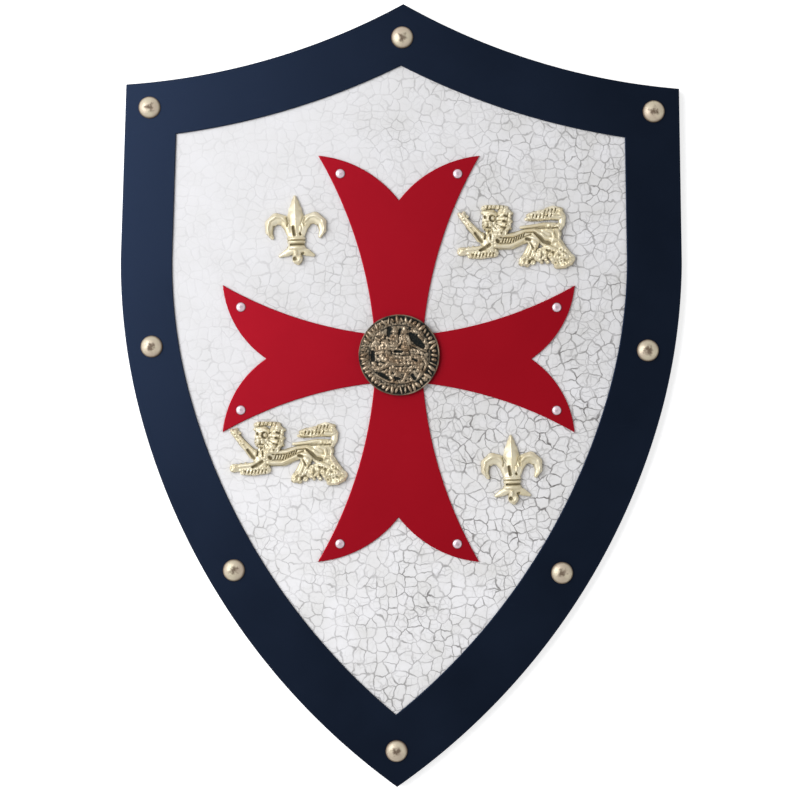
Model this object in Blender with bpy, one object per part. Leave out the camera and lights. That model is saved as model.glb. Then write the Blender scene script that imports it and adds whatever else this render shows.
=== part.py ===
# Crusader shield, lying on its back: a painted board with a steel border, a steel cross and cast ornaments.
# Metres, +Z out of the front, +Y towards the top point. The origin is the middle of the back face.
import math

import bmesh
import bpy
import numpy as np

# Outline of the board
HEIGHT = 0.610  # top point to bottom point
WIDTH = 0.4372  # at the widest place
SHOULDER_WIDTH = 0.985 * WIDTH  # between the two shoulder corners
SHOULDER_DROP = 0.0643  # from the top point down to the shoulder corners
WIDEST_DROP = 0.200  # from the top point down to the widest place
TOP_EDGE_RADIUS = 0.525  # hollow curve from the top point to a shoulder
SIDE_RADIUS = 0.460  # first stretch of the round side, below the widest place
SIDE_SWEEP = math.radians(16.0)  # how far that first stretch turns
TOP_STEPS = 9
STRAIGHT_STEPS = 2
SIDE_STEPS = 3
POINT_STEPS = 9
BOARD_THICKNESS = 0.0095
BOARD_CHAMFER = 0.0008

# Steel plates on the front
SEAT_GAP = 0.0003  # between a piece and what it lies on
BORDER_WIDTH = 0.0415
BORDER_WIDTH_AT_TOP = 0.0425  # along the two top edges
BORDER_WIDTH_AT_POINT = 0.046
BORDER_SIDE_EASE = 0.028  # how much tighter than an even inset the inner edge's round side is
FRONT_SHIFT = -0.0014  # the border's opening and the cross lie this far off the board's middle line
BORDER_THICKNESS = 0.0014
CROSS_CENTRE = (FRONT_SHIFT, 0.0286)
CROSS_TURN = math.radians(0.4)  # the cross is fixed a little off square
CROSS_THICKNESS = 0.0014
CROSS_ROOT = 0.019  # half the width of an arm where the arms meet
TIP_BULGE = 0.0075  # how far an arm's end swells out between tip and notch
FLARE_STEPS = 8
TIP_STEPS = 4
UPRIGHT_ARM = {"reach": 0.1582, "half_width": 0.0629, "notch": 0.1235, "flare_radius": 0.330}
CROSS_ARM = {"reach": 0.1371, "half_width": 0.0573, "notch": 0.1033, "flare_radius": 0.305}

# Domed studs through the border into the board
STUD_DIAMETER = 0.018
STUD_RIM = 0.0007  # straight edge under the dome
STUD_DOME = 0.0048
STUD_SHANK_DIAMETER = 0.0040
STUD_BITE = 0.0060  # depth of the shank in the board
STUD_SIDES = 12
STUD_RINGS = 3
SIDE_STUD_DROP = 0.2684  # from the top point down to the studs at mid height
LOW_STUD_DROP = 0.4421  # from the top point down to the studs low on the sides
TOP_STUD_SHARE = 0.455  # of the border's width, from its inner edge out to the stud at the top point
SIDE_STUD_SHARE = 0.530
BOTTOM_STUD_SHARE = 0.500

# Small nails through the cross into the board
NAIL_DIAMETER = 0.008
NAIL_RIM = 0.0005
NAIL_DOME = 0.0017
NAIL_SHANK_DIAMETER = 0.0024
NAIL_BITE = 0.0050
NAIL_SIDES = 8
NAIL_RINGS = 2
NAIL_INSET_ALONG = 0.0141  # from an arm's tip back along the arm
NAIL_INSET_ACROSS = 0.0172  # from an arm's tip in towards the arm's middle line
HOLE_CLEARANCE = 0.0004  # round a shank, and below its end

# Cast ornaments
MEDALLION_DIAMETER = 0.063
MEDALLION_OFFSET = (0.0003, 0.0029)  # its middle from the cross's centre
MEDALLION_PLATE = 0.0026
MEDALLION_RELIEF = 0.42  # height of a stroke over its half width
MEDALLION_RIM_WIDTH = 0.0016
MEDALLION_BAND_WIDTH = 0.0056  # ring of short strokes inside the rim
MEDALLION_RAISE = 0.0012  # rim and strokes over the sunk field
MEDALLION_STROKES = 24
MEDALLION_CELL = 0.0009  # grid that the relief is first cast on
MEDALLION_FACETS = 1300  # triangles left of it
LION_LENGTH = 0.095
LION_PLATE = 0.0015
LION_RELIEF = 0.62
LION_CELL = 0.0011
LION_FACETS = 1400
FLEUR_HEIGHT = 0.056
FLEUR_PLATE = 0.0015
FLEUR_RELIEF = 0.55
FLEUR_CELL = 0.0010
FLEUR_FACETS = 700
CHARGES = {
    "lion_upper": {"side": 1, "rise": 0.0944, "gap": 0.0088},
    "lion_lower": {"side": -1, "rise": -0.0756, "gap": 0.0089},
    "fleur_de_lis_upper": {"side": -1, "rise": 0.0999, "gap": 0.0197},
    "fleur_de_lis_lower": {"side": 1, "rise": -0.0854, "gap": 0.0327},
}

# Figures. Each is drawn on a grid of its own: strokes are chains of (x, y, half width), with a lift over the
# plate, and cuts are chains of the same kind that are sunk into them. One grid unit is the figure's size over
# its span.
LION_SPAN = 122
LION_GRID_HEIGHT = 65
LION_STROKES = [
    {"lift": 2.2, "path": [(36, 55, 8.0), (34, 46, 6.5)]},  # face
    {"lift": 3.4, "path": [(32, 44, 4.5), (31, 41, 3.6)]},  # muzzle
    {"lift": 1.5, "path": [(30, 61, 3.0), (36, 62, 3.2), (43, 61, 3.2), (50, 61, 2.8)]},  # crest of hair
    {"lift": 0.8, "path": [(42, 56, 8.5), (44, 46, 8.5), (39, 36, 8.5)]},  # mane
    {"lift": 1.2, "path": [(36, 36, 7.5), (35, 26, 7.5)]},  # chest
    {"lift": 1.0, "path": [(32, 27, 6.0), (23, 34, 5.0), (15, 43, 4.0), (9, 50, 3.4), (6, 54, 3.8)]},  # paw
    {"lift": 0.9, "path": [(34, 21, 6.0), (24, 19, 4.6), (12, 18, 3.8), (5, 18, 4.4)]},  # lower leg
    {"lift": 0.4, "path": [(38, 16, 5.0), (26, 14, 3.6), (14, 13, 2.6)]},  # hair under the leg
    {"lift": 1.0, "path": [(44, 29, 8.0), (57, 29.5, 7.6), (67, 33.5, 6.6), (78, 35.5, 6.4)]},  # body
    {"lift": 1.4, "path": [(82, 35, 7.5), (95, 36, 9.5)]},  # haunch
    {"lift": 0.8, "path": [(101, 38, 5.0), (107, 46, 3.6), (107, 54, 3.8), (99, 57, 4.4)]},  # tail, rising
    {"lift": 1.0, "path": [(99, 57, 5.0), (88, 55, 5.6), (78, 53, 4.6), (71, 51, 2.6)]},  # tuft
    {"lift": 1.0, "path": [(86, 31, 7.5), (83, 20, 6.5), (76, 12, 5.0), (69, 8, 5.0)]},  # near hind leg
    {"lift": 0.2, "path": [(84, 14, 6.0), (93, 20, 6.0), (99, 14, 7.0), (107, 13, 6.0)]},  # leg hair
    {"lift": 1.0, "path": [(98, 30, 7.5), (106, 22, 6.2), (115, 14, 5.4)]},  # far hind leg
    {"lift": 0.9, "path": [(116, 13, 5.2), (111, 6, 4.4), (103, 5, 4.0)]},  # far hind foot
]
LION_CUTS = [
    {"sink": 3.0, "path": [(20, 36, 1.2), (26, 28, 1.6)]},  # slot in the raised leg
    {"sink": 3.2, "path": [(27, 19, 1.8), (33, 24, 2.4)]},  # hollow under the chest
    {"sink": 2.4, "path": [(42, 29, 2.0), (59, 29.5, 1.8), (68, 34, 1.6), (79, 37, 1.4)]},  # band of the body
    {"sink": 2.8, "path": [(81, 36, 1.4), (88, 29, 1.8), (96, 27, 1.4)]},  # fold of the haunch
    {"sink": 2.4, "path": [(73, 31, 2.0), (79, 24, 1.4), (86, 17, 1.2)]},  # fold of the near leg
    {"sink": 2.6, "path": [(30, 52.5, 1.3), (30.2, 52.5, 1.3)]},  # eye
    {"sink": 2.6, "path": [(36, 51.5, 1.5), (36.2, 51.5, 1.5)]},  # eye
    {"sink": 2.2, "path": [(46, 54, 1.4), (51, 54, 1.8)]},  # parting of the mane
    {"sink": 2.2, "path": [(46, 47, 1.4), (51, 48, 1.8)]},  # parting of the mane
    {"sink": 2.0, "path": [(93, 20, 1.4), (101, 16, 1.2)]},  # hair of the legs
]
FLEUR_SPAN = 72
FLEUR_GRID_WIDTH = 63.5
FLEUR_LEAN = math.radians(2.5)
FLEUR_MIDDLE = [
    {"lift": 1.6, "path": [(0, 33, 1.8), (0, 26, 4.2), (0, 15, 8.6), (0, 6, 6.2), (0, -4, 4.6)]},  # petal
    {"lift": 1.0, "path": [(-8, -10, 3.6), (8, -10, 3.6)]},  # upper rib of the band
    {"lift": 1.0, "path": [(-7, -15, 3.4), (7, -15, 3.4)]},  # lower rib of the band
    {"lift": 1.2, "path": [(0, -17, 5.0), (0, -26, 5.0), (0, -33, 2.4)]},  # lower petal
]
FLEUR_SIDES = [
    {"lift": 1.0, "path": [(6, -6, 3.6), (9, 4, 4.6), (14, 11, 5.6), (21, 12, 6.0), (27, 7, 5.0),
                           (27, -2, 3.6), (24, -7, 2.0)]},  # petal that curls out and down
    {"lift": 0.8, "path": [(5, -20, 4.6), (11, -22, 4.0), (17, -25, 2.2)]},  # lower side point
]
FLEUR_CUTS = [
    {"sink": 3.0, "path": [(-3.4, 2, 1.8), (-2.6, -4, 2.0)]},  # slot under the middle petal
    {"sink": 2.4, "path": [(4.0, 0, 1.6), (3.4, -4, 1.8)]},  # slot under the middle petal
    {"sink": 2.0, "path": [(-8, -12.5, 1.2), (8, -12.5, 1.2)]},  # line between the ribs
    {"sink": 2.6, "path": [(-1.0, -25, 2.0), (-0.8, -26, 2.0)]},  # pit in the lower petal
]
MEDALLION_SPAN = 80
MEDALLION_STROKE_LIST = [
    {"lift": 1.6, "path": [(-6, 23, 3.4), (-6, 21, 3.8)]},  # first rider's helmet
    {"lift": 1.6, "path": [(4, 23, 3.4), (4, 21, 3.8)]},  # second rider's helmet
    {"lift": 1.0, "path": [(-7, 15, 4.6), (-7, 6, 5.0)]},  # first rider
    {"lift": 1.0, "path": [(5, 15, 4.6), (6, 5, 5.2)]},  # second rider
    {"lift": 2.0, "path": [(-12, 8, 5.6), (-12, 0, 4.6), (-12, -5, 2.0)]},  # first rider's shield
    {"lift": 1.0, "path": [(-10, -3, 6.6), (6, -4, 6.0), (18, -3, 6.8)]},  # horse
    {"lift": 1.0, "path": [(-13, -1, 5.2), (-20, 8, 3.8), (-21, 13, 3.0), (-26, 8, 2.2)]},  # neck and head
    {"lift": 0.8, "path": [(-12, -8, 3.2), (-20, -13, 2.4), (-17, -21, 2.0)]},  # foreleg
    {"lift": 0.8, "path": [(-6, -9, 3.0), (-8, -17, 2.2), (-4, -25, 2.0)]},  # foreleg
    {"lift": 0.8, "path": [(14, -8, 3.6), (9, -16, 2.4), (11, -24, 2.0)]},  # hind leg
    {"lift": 0.8, "path": [(20, -7, 3.6), (23, -14, 2.4), (20, -20, 2.0)]},  # hind leg
    {"lift": 0.8, "path": [(23, 0, 2.2), (27, -5, 2.0), (26, -12, 1.6)]},  # tail
    {"lift": 0.6, "path": [(-25, 18, 1.2), (-8, 9, 1.2), (10, 2, 1.2)]},  # lance
]

# Colour, roughness and metallic value of each finish
FINISHES = {
    "crackle_white": ((0.74, 0.73, 0.72), 0.45, 0.0),
    "navy_paint": ((0.022, 0.032, 0.065), 0.38, 0.0),
    "red_paint": ((0.40, 0.010, 0.022), 0.35, 0.0),
    "pale_brass": ((0.72, 0.56, 0.36), 0.28, 1.0),
    "silver_nail": ((0.70, 0.70, 0.72), 0.25, 1.0),
    "pale_gold": ((0.83, 0.72, 0.42), 0.30, 1.0),
    "antique_bronze": ((0.36, 0.26, 0.15), 0.38, 1.0),
}

# Levels and places worked out from the sizes above
TOP_Y = HEIGHT / 2
BOTTOM_Y = -HEIGHT / 2
FRONT_Z = BOARD_THICKNESS
PLATE_Z = FRONT_Z + SEAT_GAP
STUD_Z = PLATE_Z + BORDER_THICKNESS + SEAT_GAP
NAIL_Z = PLATE_Z + CROSS_THICKNESS + SEAT_GAP
MEDALLION_Z = PLATE_Z + CROSS_THICKNESS + SEAT_GAP


def clear_scene():
    for item in list(bpy.data.objects):
        bpy.data.objects.remove(item, do_unlink=True)


def make_finish(name):
    colour, roughness, metallic = FINISHES[name]
    finish = bpy.data.materials.new(name)
    finish.use_nodes = True
    shader = finish.node_tree.nodes["Principled BSDF"]
    shader.inputs["Base Color"].default_value = (*colour, 1.0)
    shader.inputs["Roughness"].default_value = roughness
    shader.inputs["Metallic"].default_value = metallic
    return finish


def finish_mesh(shape, name):
    bmesh.ops.recalc_face_normals(shape, faces=shape.faces)
    if shape.calc_volume(signed=True) < 0:
        bmesh.ops.reverse_faces(shape, faces=shape.faces)
    mesh = bpy.data.meshes.new(name)
    shape.to_mesh(mesh)
    shape.free()
    return mesh


def add_piece(name, mesh, finish, location=(0.0, 0.0, 0.0), turn=0.0):
    piece = bpy.data.objects.new(name, mesh)
    piece.location = location
    piece.rotation_euler = (0.0, 0.0, turn)
    bpy.context.scene.collection.objects.link(piece)
    if not mesh.materials:
        mesh.materials.append(finish)
    return piece


def arc_between(start, end, radius, steps, side):
    """Points of an arc from start to end, without start. It swells to the right of the way for side 1."""
    x0, y0 = start
    x1, y1 = end
    chord = math.hypot(x1 - x0, y1 - y0)
    half_sweep = math.asin(chord / (2 * radius))
    away = radius * math.cos(half_sweep)
    centre_x = (x0 + x1) / 2 - side * away * (y1 - y0) / chord
    centre_y = (y0 + y1) / 2 + side * away * (x1 - x0) / chord
    first = math.atan2(y0 - centre_y, x0 - centre_x)
    points = []
    for step in range(1, steps + 1):
        angle = first + side * 2 * half_sweep * step / steps
        points.append((centre_x + radius * math.cos(angle), centre_y + radius * math.sin(angle)))
    return points


def shield_outline():
    """The outline's corners and radii, on its right half."""
    return {
        "top": (0.0, TOP_Y),
        "shoulder": (SHOULDER_WIDTH / 2, TOP_Y - SHOULDER_DROP),
        "widest": (WIDTH / 2, TOP_Y - WIDEST_DROP),
        "bottom": (0.0, BOTTOM_Y),
        "top_radius": TOP_EDGE_RADIUS,
        "side_radius": SIDE_RADIUS,
    }


def point_arc(outline):
    """Where the first round stretch ends, and the radius that goes on smoothly to the bottom point."""
    widest = outline["widest"]
    radius = outline["side_radius"]
    turn_end = (widest[0] - radius * (1 - math.cos(SIDE_SWEEP)), widest[1] - radius * math.sin(SIDE_SWEEP))
    run = (-turn_end[0], outline["bottom"][1] - turn_end[1])
    heading = (-math.sin(SIDE_SWEEP), -math.cos(SIDE_SWEEP))
    across = abs(run[0] * heading[1] - run[1] * heading[0])
    return turn_end, (run[0] ** 2 + run[1] ** 2) / (2 * across)


def arc_centre(start, end, radius):
    """The centre of a hollow edge's arc, above the edge."""
    chord = math.hypot(end[0] - start[0], end[1] - start[1])
    away = math.sqrt(radius ** 2 - chord ** 2 / 4)
    return ((start[0] + end[0]) / 2 + away * (start[1] - end[1]) / chord,
            (start[1] + end[1]) / 2 + away * (end[0] - start[0]) / chord)


def inset_outline(outline, width, width_at_top, width_at_point, side_ease):
    """The outline moved inwards by a width, with its own widths along the top and at the bottom point."""
    centre = arc_centre(outline["top"], outline["shoulder"], outline["top_radius"])
    top_radius = outline["top_radius"] + width_at_top
    shoulder = outline["shoulder"]
    widest = outline["widest"]
    side_length = math.hypot(widest[0] - shoulder[0], widest[1] - shoulder[1])
    along = ((widest[0] - shoulder[0]) / side_length, (widest[1] - shoulder[1]) / side_length)
    start = (shoulder[0] + along[1] * width - centre[0], shoulder[1] - along[0] * width - centre[1])
    middle = -(start[0] * along[0] + start[1] * along[1])
    near = start[0] ** 2 + start[1] ** 2 - middle ** 2
    step = middle + math.sqrt(top_radius ** 2 - near)
    turn_end, point_radius = point_arc(outline)
    chord = math.hypot(turn_end[0], outline["bottom"][1] - turn_end[1])
    end_slope = SIDE_SWEEP + 2 * math.asin(chord / (2 * point_radius))
    return {
        "top": (0.0, centre[1] - math.sqrt(top_radius ** 2 - centre[0] ** 2)),
        "shoulder": (centre[0] + start[0] + along[0] * step, centre[1] + start[1] + along[1] * step),
        "widest": (widest[0] - width, widest[1]),
        "bottom": (0.0, outline["bottom"][1] + width_at_point / math.sin(end_slope)),
        "top_radius": top_radius,
        "side_radius": outline["side_radius"] - width - side_ease,
    }


def right_side(outline):
    """The right half of an outline from the top point to the bottom point."""
    shoulder = outline["shoulder"]
    widest = outline["widest"]
    turn_end, point_radius = point_arc(outline)
    points = [outline["top"]]
    points += arc_between(points[0], shoulder, outline["top_radius"], TOP_STEPS, 1)
    for step in range(1, STRAIGHT_STEPS + 1):
        share = step / STRAIGHT_STEPS
        x = shoulder[0] + (widest[0] - shoulder[0]) * share
        y = shoulder[1] + (widest[1] - shoulder[1]) * share
        points.append((x, y))
    points += arc_between(widest, turn_end, outline["side_radius"], SIDE_STEPS, -1)
    points += arc_between(turn_end, outline["bottom"], point_radius, POINT_STEPS, -1)
    return points


def shield_loop(outline, shift=0.0):
    """The whole outline, clockwise from the top point."""
    right = right_side(outline)
    left = [(-x, y) for x, y in right[-2:0:-1]]
    return [(x + shift, y) for x, y in right + left]


def border_inner():
    """The outline of the border's inner edge, before it is shifted."""
    return inset_outline(shield_outline(), BORDER_WIDTH, BORDER_WIDTH_AT_TOP, BORDER_WIDTH_AT_POINT,
                         BORDER_SIDE_EASE)


def stack_loops(levels, name):
    """A closed solid through loops of equally many points, each with its height, with flat ends."""
    shape = bmesh.new()
    rings = [[shape.verts.new((x, y, z)) for x, y in loop] for loop, z in levels]
    count = len(rings[0])
    for low, high in zip(rings, rings[1:]):
        for index in range(count):
            after = (index + 1) % count
            shape.faces.new((low[index], low[after], high[after], high[index]))
    shape.faces.new(rings[0])
    shape.faces.new(rings[-1])
    return finish_mesh(shape, name)


def ring_plate(outer, inner, low_z, high_z, name):
    """A flat ring between two loops of equally many points."""
    shape = bmesh.new()
    corners = []
    for loop, z in ((outer, low_z), (outer, high_z), (inner, high_z), (inner, low_z)):
        corners.append([shape.verts.new((x, y, z)) for x, y in loop])
    count = len(outer)
    for side in range(4):
        here = corners[side]
        beside = corners[(side + 1) % 4]
        for index in range(count):
            after = (index + 1) % count
            shape.faces.new((here[index], here[after], beside[after], beside[index]))
    return finish_mesh(shape, name)


def turned(profile, sides, name):
    """A solid turned round Z through (radius, height) pairs, closed by a flat face at each end."""
    shape = bmesh.new()
    rings = []
    for radius, z in profile:
        ring = []
        for side in range(sides):
            angle = 2 * math.pi * (side + 0.5) / sides
            ring.append(shape.verts.new((radius * math.cos(angle), radius * math.sin(angle), z)))
        rings.append(ring)
    for low, high in zip(rings, rings[1:]):
        for index in range(sides):
            after = (index + 1) % sides
            shape.faces.new((low[index], low[after], high[after], high[index]))
    shape.faces.new(rings[0])
    shape.faces.new(rings[-1])
    return finish_mesh(shape, name)


def head_profile(diameter, rim, dome, rings, shank_diameter, shank_length):
    """Shank, flat underside, straight rim and round dome of a stud or nail, with its seat at height 0."""
    radius = diameter / 2
    profile = [(shank_diameter / 2, -shank_length), (shank_diameter / 2, 0.0), (radius, 0.0)]
    for ring in range(rings + 1):
        angle = math.pi / 2 * ring / (rings + 0.6)
        profile.append((radius * math.cos(angle), rim + dome * math.sin(angle)))
    return profile


def arm_half_width(arm, distance):
    """Half the width of an arm of the cross at a distance from the cross's centre."""
    edge = [(CROSS_ROOT, CROSS_ROOT)]
    edge += arc_between(edge[0], (arm["reach"], arm["half_width"]), arm["flare_radius"], FLARE_STEPS, 1)
    reach = [point[0] for point in edge]
    half = [point[1] for point in edge]
    return float(np.interp(distance, reach, half))


def on_the_cross(x, y):
    """A place given from the cross's centre along its arms, on the board."""
    return (CROSS_CENTRE[0] + x * math.cos(CROSS_TURN) - y * math.sin(CROSS_TURN),
            CROSS_CENTRE[1] + x * math.sin(CROSS_TURN) + y * math.cos(CROSS_TURN))


def cross_loop():
    """The cross's outline, clockwise, round its own centre."""
    points = []
    for quarter in range(4):
        arm = UPRIGHT_ARM if quarter % 2 == 0 else CROSS_ARM
        root = (-CROSS_ROOT, CROSS_ROOT)
        left_tip = (-arm["half_width"], arm["reach"])
        right_tip = (arm["half_width"], arm["reach"])
        notch = (0.0, arm["notch"])
        half_chord = math.hypot(arm["half_width"], arm["reach"] - arm["notch"]) / 2
        tip_radius = (half_chord ** 2 + TIP_BULGE ** 2) / (2 * TIP_BULGE)
        outline = [root]
        outline += arc_between(root, left_tip, arm["flare_radius"], FLARE_STEPS, 1)
        outline += arc_between(left_tip, notch, tip_radius, TIP_STEPS, -1)
        outline += arc_between(notch, right_tip, tip_radius, TIP_STEPS, -1)
        outline += arc_between(right_tip, (CROSS_ROOT, CROSS_ROOT), arm["flare_radius"], FLARE_STEPS, 1)[:-1]
        turn = -math.pi / 2 * quarter
        for x, y in outline:
            points.append((x * math.cos(turn) - y * math.sin(turn), x * math.sin(turn) + y * math.cos(turn)))
    return points


def stud_places():
    """The studs' names and places, about halfway across the border."""
    outer = right_side(shield_outline())
    inner = right_side(border_inner())

    def across(index, share):
        inner_x, inner_y = inner[index]
        outer_x, outer_y = outer[index]
        return (inner_x + (outer_x - inner_x) * share, inner_y + (outer_y - inner_y) * share)

    side = [across(index, SIDE_STUD_SHARE) for index in range(TOP_STEPS, len(outer))]
    places = {"stud_top": across(0, TOP_STUD_SHARE), "stud_bottom": across(-1, BOTTOM_STUD_SHARE)}
    for sign, word in ((-1, "left"), (1, "right")):
        places["stud_shoulder_" + word] = (sign * side[0][0], side[0][1])
        for drop, level in ((SIDE_STUD_DROP, "middle"), (LOW_STUD_DROP, "low")):
            y = TOP_Y - drop
            x = float(np.interp(-y, [-place[1] for place in side], [place[0] for place in side]))
            places["stud_" + level + "_" + word] = (sign * x, y)
    return {name: (x + FRONT_SHIFT / 2, y) for name, (x, y) in places.items()}


def nail_places():
    """The nails' names and places, one in each tip of the cross."""
    places = {}
    for vertical, level in ((1, "upper"), (-1, "lower")):
        for side, word in ((-1, "left"), (1, "right")):
            x = UPRIGHT_ARM["half_width"] - NAIL_INSET_ACROSS
            y = UPRIGHT_ARM["reach"] - NAIL_INSET_ALONG
            places["nail_upright_" + level + "_" + word] = on_the_cross(side * x, vertical * y)
            x = CROSS_ARM["reach"] - NAIL_INSET_ALONG
            y = CROSS_ARM["half_width"] - NAIL_INSET_ACROSS
            places["nail_arm_" + level + "_" + word] = on_the_cross(side * x, vertical * y)
    return places


def hole_cutter(name, places, shank_diameter, sides, low_z, high_z):
    """One closed prism for each hole, all in one hidden object."""
    shape = bmesh.new()
    radius = shank_diameter / 2 + HOLE_CLEARANCE
    for x, y in places.values():
        rings = []
        for z in (low_z, high_z):
            ring = []
            for side in range(sides):
                angle = 2 * math.pi * (side + 0.5) / sides
                ring.append(shape.verts.new((x + radius * math.cos(angle), y + radius * math.sin(angle), z)))
            rings.append(ring)
        for index in range(sides):
            after = (index + 1) % sides
            shape.faces.new((rings[0][index], rings[0][after], rings[1][after], rings[1][index]))
        shape.faces.new(rings[0])
        shape.faces.new(rings[1])
    cutter = add_piece(name, finish_mesh(shape, name), None)
    cutter.hide_render = True
    cutter.display_type = "WIRE"
    return cutter


def drill(piece, cutter):
    cut = piece.modifiers.new(cutter.name, "BOOLEAN")
    cut.operation = "DIFFERENCE"
    cut.solver = "EXACT"
    cut.object = cutter


def distance_along(x, y, start, end):
    """Distance of each place from a stroke's segment, and the stroke's half width beside it."""
    x0, y0, r0 = start
    x1, y1, r1 = end
    length_2 = max((x1 - x0) ** 2 + (y1 - y0) ** 2, 1e-9)
    share = np.clip(((x - x0) * (x1 - x0) + (y - y0) * (y1 - y0)) / length_2, 0.0, 1.0)
    distance = np.hypot(x - x0 - share * (x1 - x0), y - y0 - share * (y1 - y0))
    return distance, r0 + share * (r1 - r0)


def figure_relief(x, y, strokes, cuts, relief):
    """How far inside the figure each place is, and how high the figure stands there, in grid units."""
    inside = np.full(x.shape, -1e3)
    height = np.zeros(x.shape)
    for stroke in strokes:
        for start, end in zip(stroke["path"], stroke["path"][1:]):
            distance, half = distance_along(x, y, start, end)
            inside = np.maximum(inside, half - distance)
            round_part = np.sqrt(np.maximum(half ** 2 - distance ** 2, 0.0))
            rise = np.maximum(1.0 - (distance / half) ** 2, 0.0)
            height = np.maximum(height, relief * round_part + stroke["lift"] * rise)
    for cut in cuts:
        depth = np.zeros(x.shape)
        for start, end in zip(cut["path"], cut["path"][1:]):
            distance, half = distance_along(x, y, start, end)
            depth = np.maximum(depth, cut["sink"] * np.maximum(1.0 - (distance / (half * 1.6)) ** 2, 0.0))
        height = np.maximum(height - depth, 0.0)
    return inside, height


def cast_mesh(name, relief_at, half_size, cell, plate):
    """A casting with a flat back, a straight edge as high as its plate and a relief over that. For places on
    a grid, relief_at gives how far inside the outline they are and how high the relief stands, in metres."""
    columns = math.ceil(2 * half_size[0] / cell) + 2
    rows = math.ceil(2 * half_size[1] / cell) + 2
    grid_x = (np.arange(columns + 1) - columns / 2) * cell
    grid_y = (np.arange(rows + 1) - rows / 2) * cell
    x, y = np.meshgrid(grid_x, grid_y, indexing="ij")
    inside, height = relief_at(x, y)
    shape = bmesh.new()
    corners = {}
    crossings = {}

    def corner(i, j):
        if (i, j) not in corners:
            corners[i, j] = shape.verts.new((x[i, j], y[i, j], plate + height[i, j]))
        return corners[i, j]

    def crossing(a, b):
        key = (min(a, b), max(a, b))
        if key not in crossings:
            low, high = key
            share = inside[low] / (inside[low] - inside[high])
            share = min(0.9, max(0.1, share))
            rim_height = plate + (1 - share) * height[low] + share * height[high]
            crossings[key] = shape.verts.new((x[low] + share * (x[high] - x[low]),
                                              y[low] + share * (y[high] - y[low]), rim_height))
        return crossings[key]

    for i in range(columns):
        for j in range(rows):
            cell_corners = [(i, j), (i + 1, j), (i + 1, j + 1), (i, j + 1)]
            outline = []
            for here, after in zip(cell_corners, cell_corners[1:] + cell_corners[:1]):
                if inside[here] > 0:
                    outline.append(corner(*here))
                if (inside[here] > 0) != (inside[after] > 0):
                    outline.append(crossing(here, after))
            if len(outline) >= 3:
                shape.faces.new(outline)
    rim = [edge for edge in shape.edges if len(edge.link_faces) == 1]
    walls = bmesh.ops.extrude_edge_only(shape, edges=rim)["geom"]
    for vertex in [item for item in walls if isinstance(item, bmesh.types.BMVert)]:
        vertex.co.z = 0.0
    foot = [edge for edge in shape.edges if len(edge.link_faces) == 1]
    bmesh.ops.triangle_fill(shape, use_beauty=True, edges=foot, normal=(0.0, 0.0, -1.0))
    return finish_mesh(shape, name)


def centred(chains, middle):
    """The same chains with their grid's middle at the origin."""
    moved = []
    for chain in chains:
        path = [(x - middle[0], y - middle[1], half) for x, y, half in chain["path"]]
        moved.append({**chain, "path": path})
    return moved


def lion_mesh():
    unit = LION_LENGTH / LION_SPAN
    middle = (LION_SPAN / 2, LION_GRID_HEIGHT / 2)
    strokes = centred(LION_STROKES, middle)
    cuts = centred(LION_CUTS, middle)

    def relief_at(x, y):
        inside, height = figure_relief(x / unit, y / unit, strokes, cuts, LION_RELIEF)
        return inside * unit, height * unit

    half_size = (LION_LENGTH / 2, LION_GRID_HEIGHT * unit / 2)
    return cast_mesh("lion", relief_at, half_size, LION_CELL, LION_PLATE)


def fleur_mesh():
    unit = FLEUR_HEIGHT / FLEUR_SPAN
    strokes = list(FLEUR_MIDDLE)
    for stroke in FLEUR_SIDES:
        for side in (-1, 1):
            strokes.append({**stroke, "path": [(side * x, y, half) for x, y, half in stroke["path"]]})

    def relief_at(x, y):
        inside, height = figure_relief(x / unit, y / unit, strokes, FLEUR_CUTS, FLEUR_RELIEF)
        return inside * unit, height * unit

    half_size = (FLEUR_GRID_WIDTH * unit / 2, FLEUR_HEIGHT / 2)
    return cast_mesh("fleur_de_lis", relief_at, half_size, FLEUR_CELL, FLEUR_PLATE)


def medallion_mesh():
    """A round plate with a raised rim, a ring of plain radial strokes and two riders on the sunk field."""
    radius = MEDALLION_DIAMETER / 2
    band_radius = radius - MEDALLION_RIM_WIDTH - MEDALLION_BAND_WIDTH / 2
    unit = MEDALLION_DIAMETER / MEDALLION_SPAN

    def relief_at(x, y):
        distance = np.hypot(x, y)
        inside, figure = figure_relief(x / unit, y / unit, MEDALLION_STROKE_LIST, [], MEDALLION_RELIEF)
        turn = np.arctan2(y, x) * MEDALLION_STROKES
        across = np.abs(distance - band_radius) / (MEDALLION_BAND_WIDTH / 2)
        rim = (distance > radius - MEDALLION_RIM_WIDTH) | (np.abs(across - 1.0) < 0.12)
        stroke = (across < 0.72) & (np.cos(turn) > 0)
        height = np.where(across < 1.0, 0.0, figure * unit)
        height = np.where(rim | stroke, MEDALLION_RAISE, height)
        return radius - distance, height

    return cast_mesh("medallion", relief_at, (radius, radius), MEDALLION_CELL, MEDALLION_PLATE)


def shade_round(mesh):
    mesh.shade_smooth()
    mesh.set_sharp_from_angle(angle=math.radians(40))


def fewer_facets(piece, facets):
    """Leaves a fine casting about as many triangles as named."""
    piece.data.calc_loop_triangles()
    thin = piece.modifiers.new("fewer_facets", "DECIMATE")
    thin.ratio = min(1.0, facets / len(piece.data.loop_triangles))


def build_board(finish):
    outer = shield_loop(shield_outline())
    inset = inset_outline(shield_outline(), BOARD_CHAMFER, BOARD_CHAMFER, BOARD_CHAMFER, 0.0)
    eased = shield_loop(inset)
    levels = [(eased, 0.0), (outer, BOARD_CHAMFER), (outer, FRONT_Z - BOARD_CHAMFER), (eased, FRONT_Z)]
    return add_piece("board", stack_loops(levels, "board"), finish)


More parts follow.
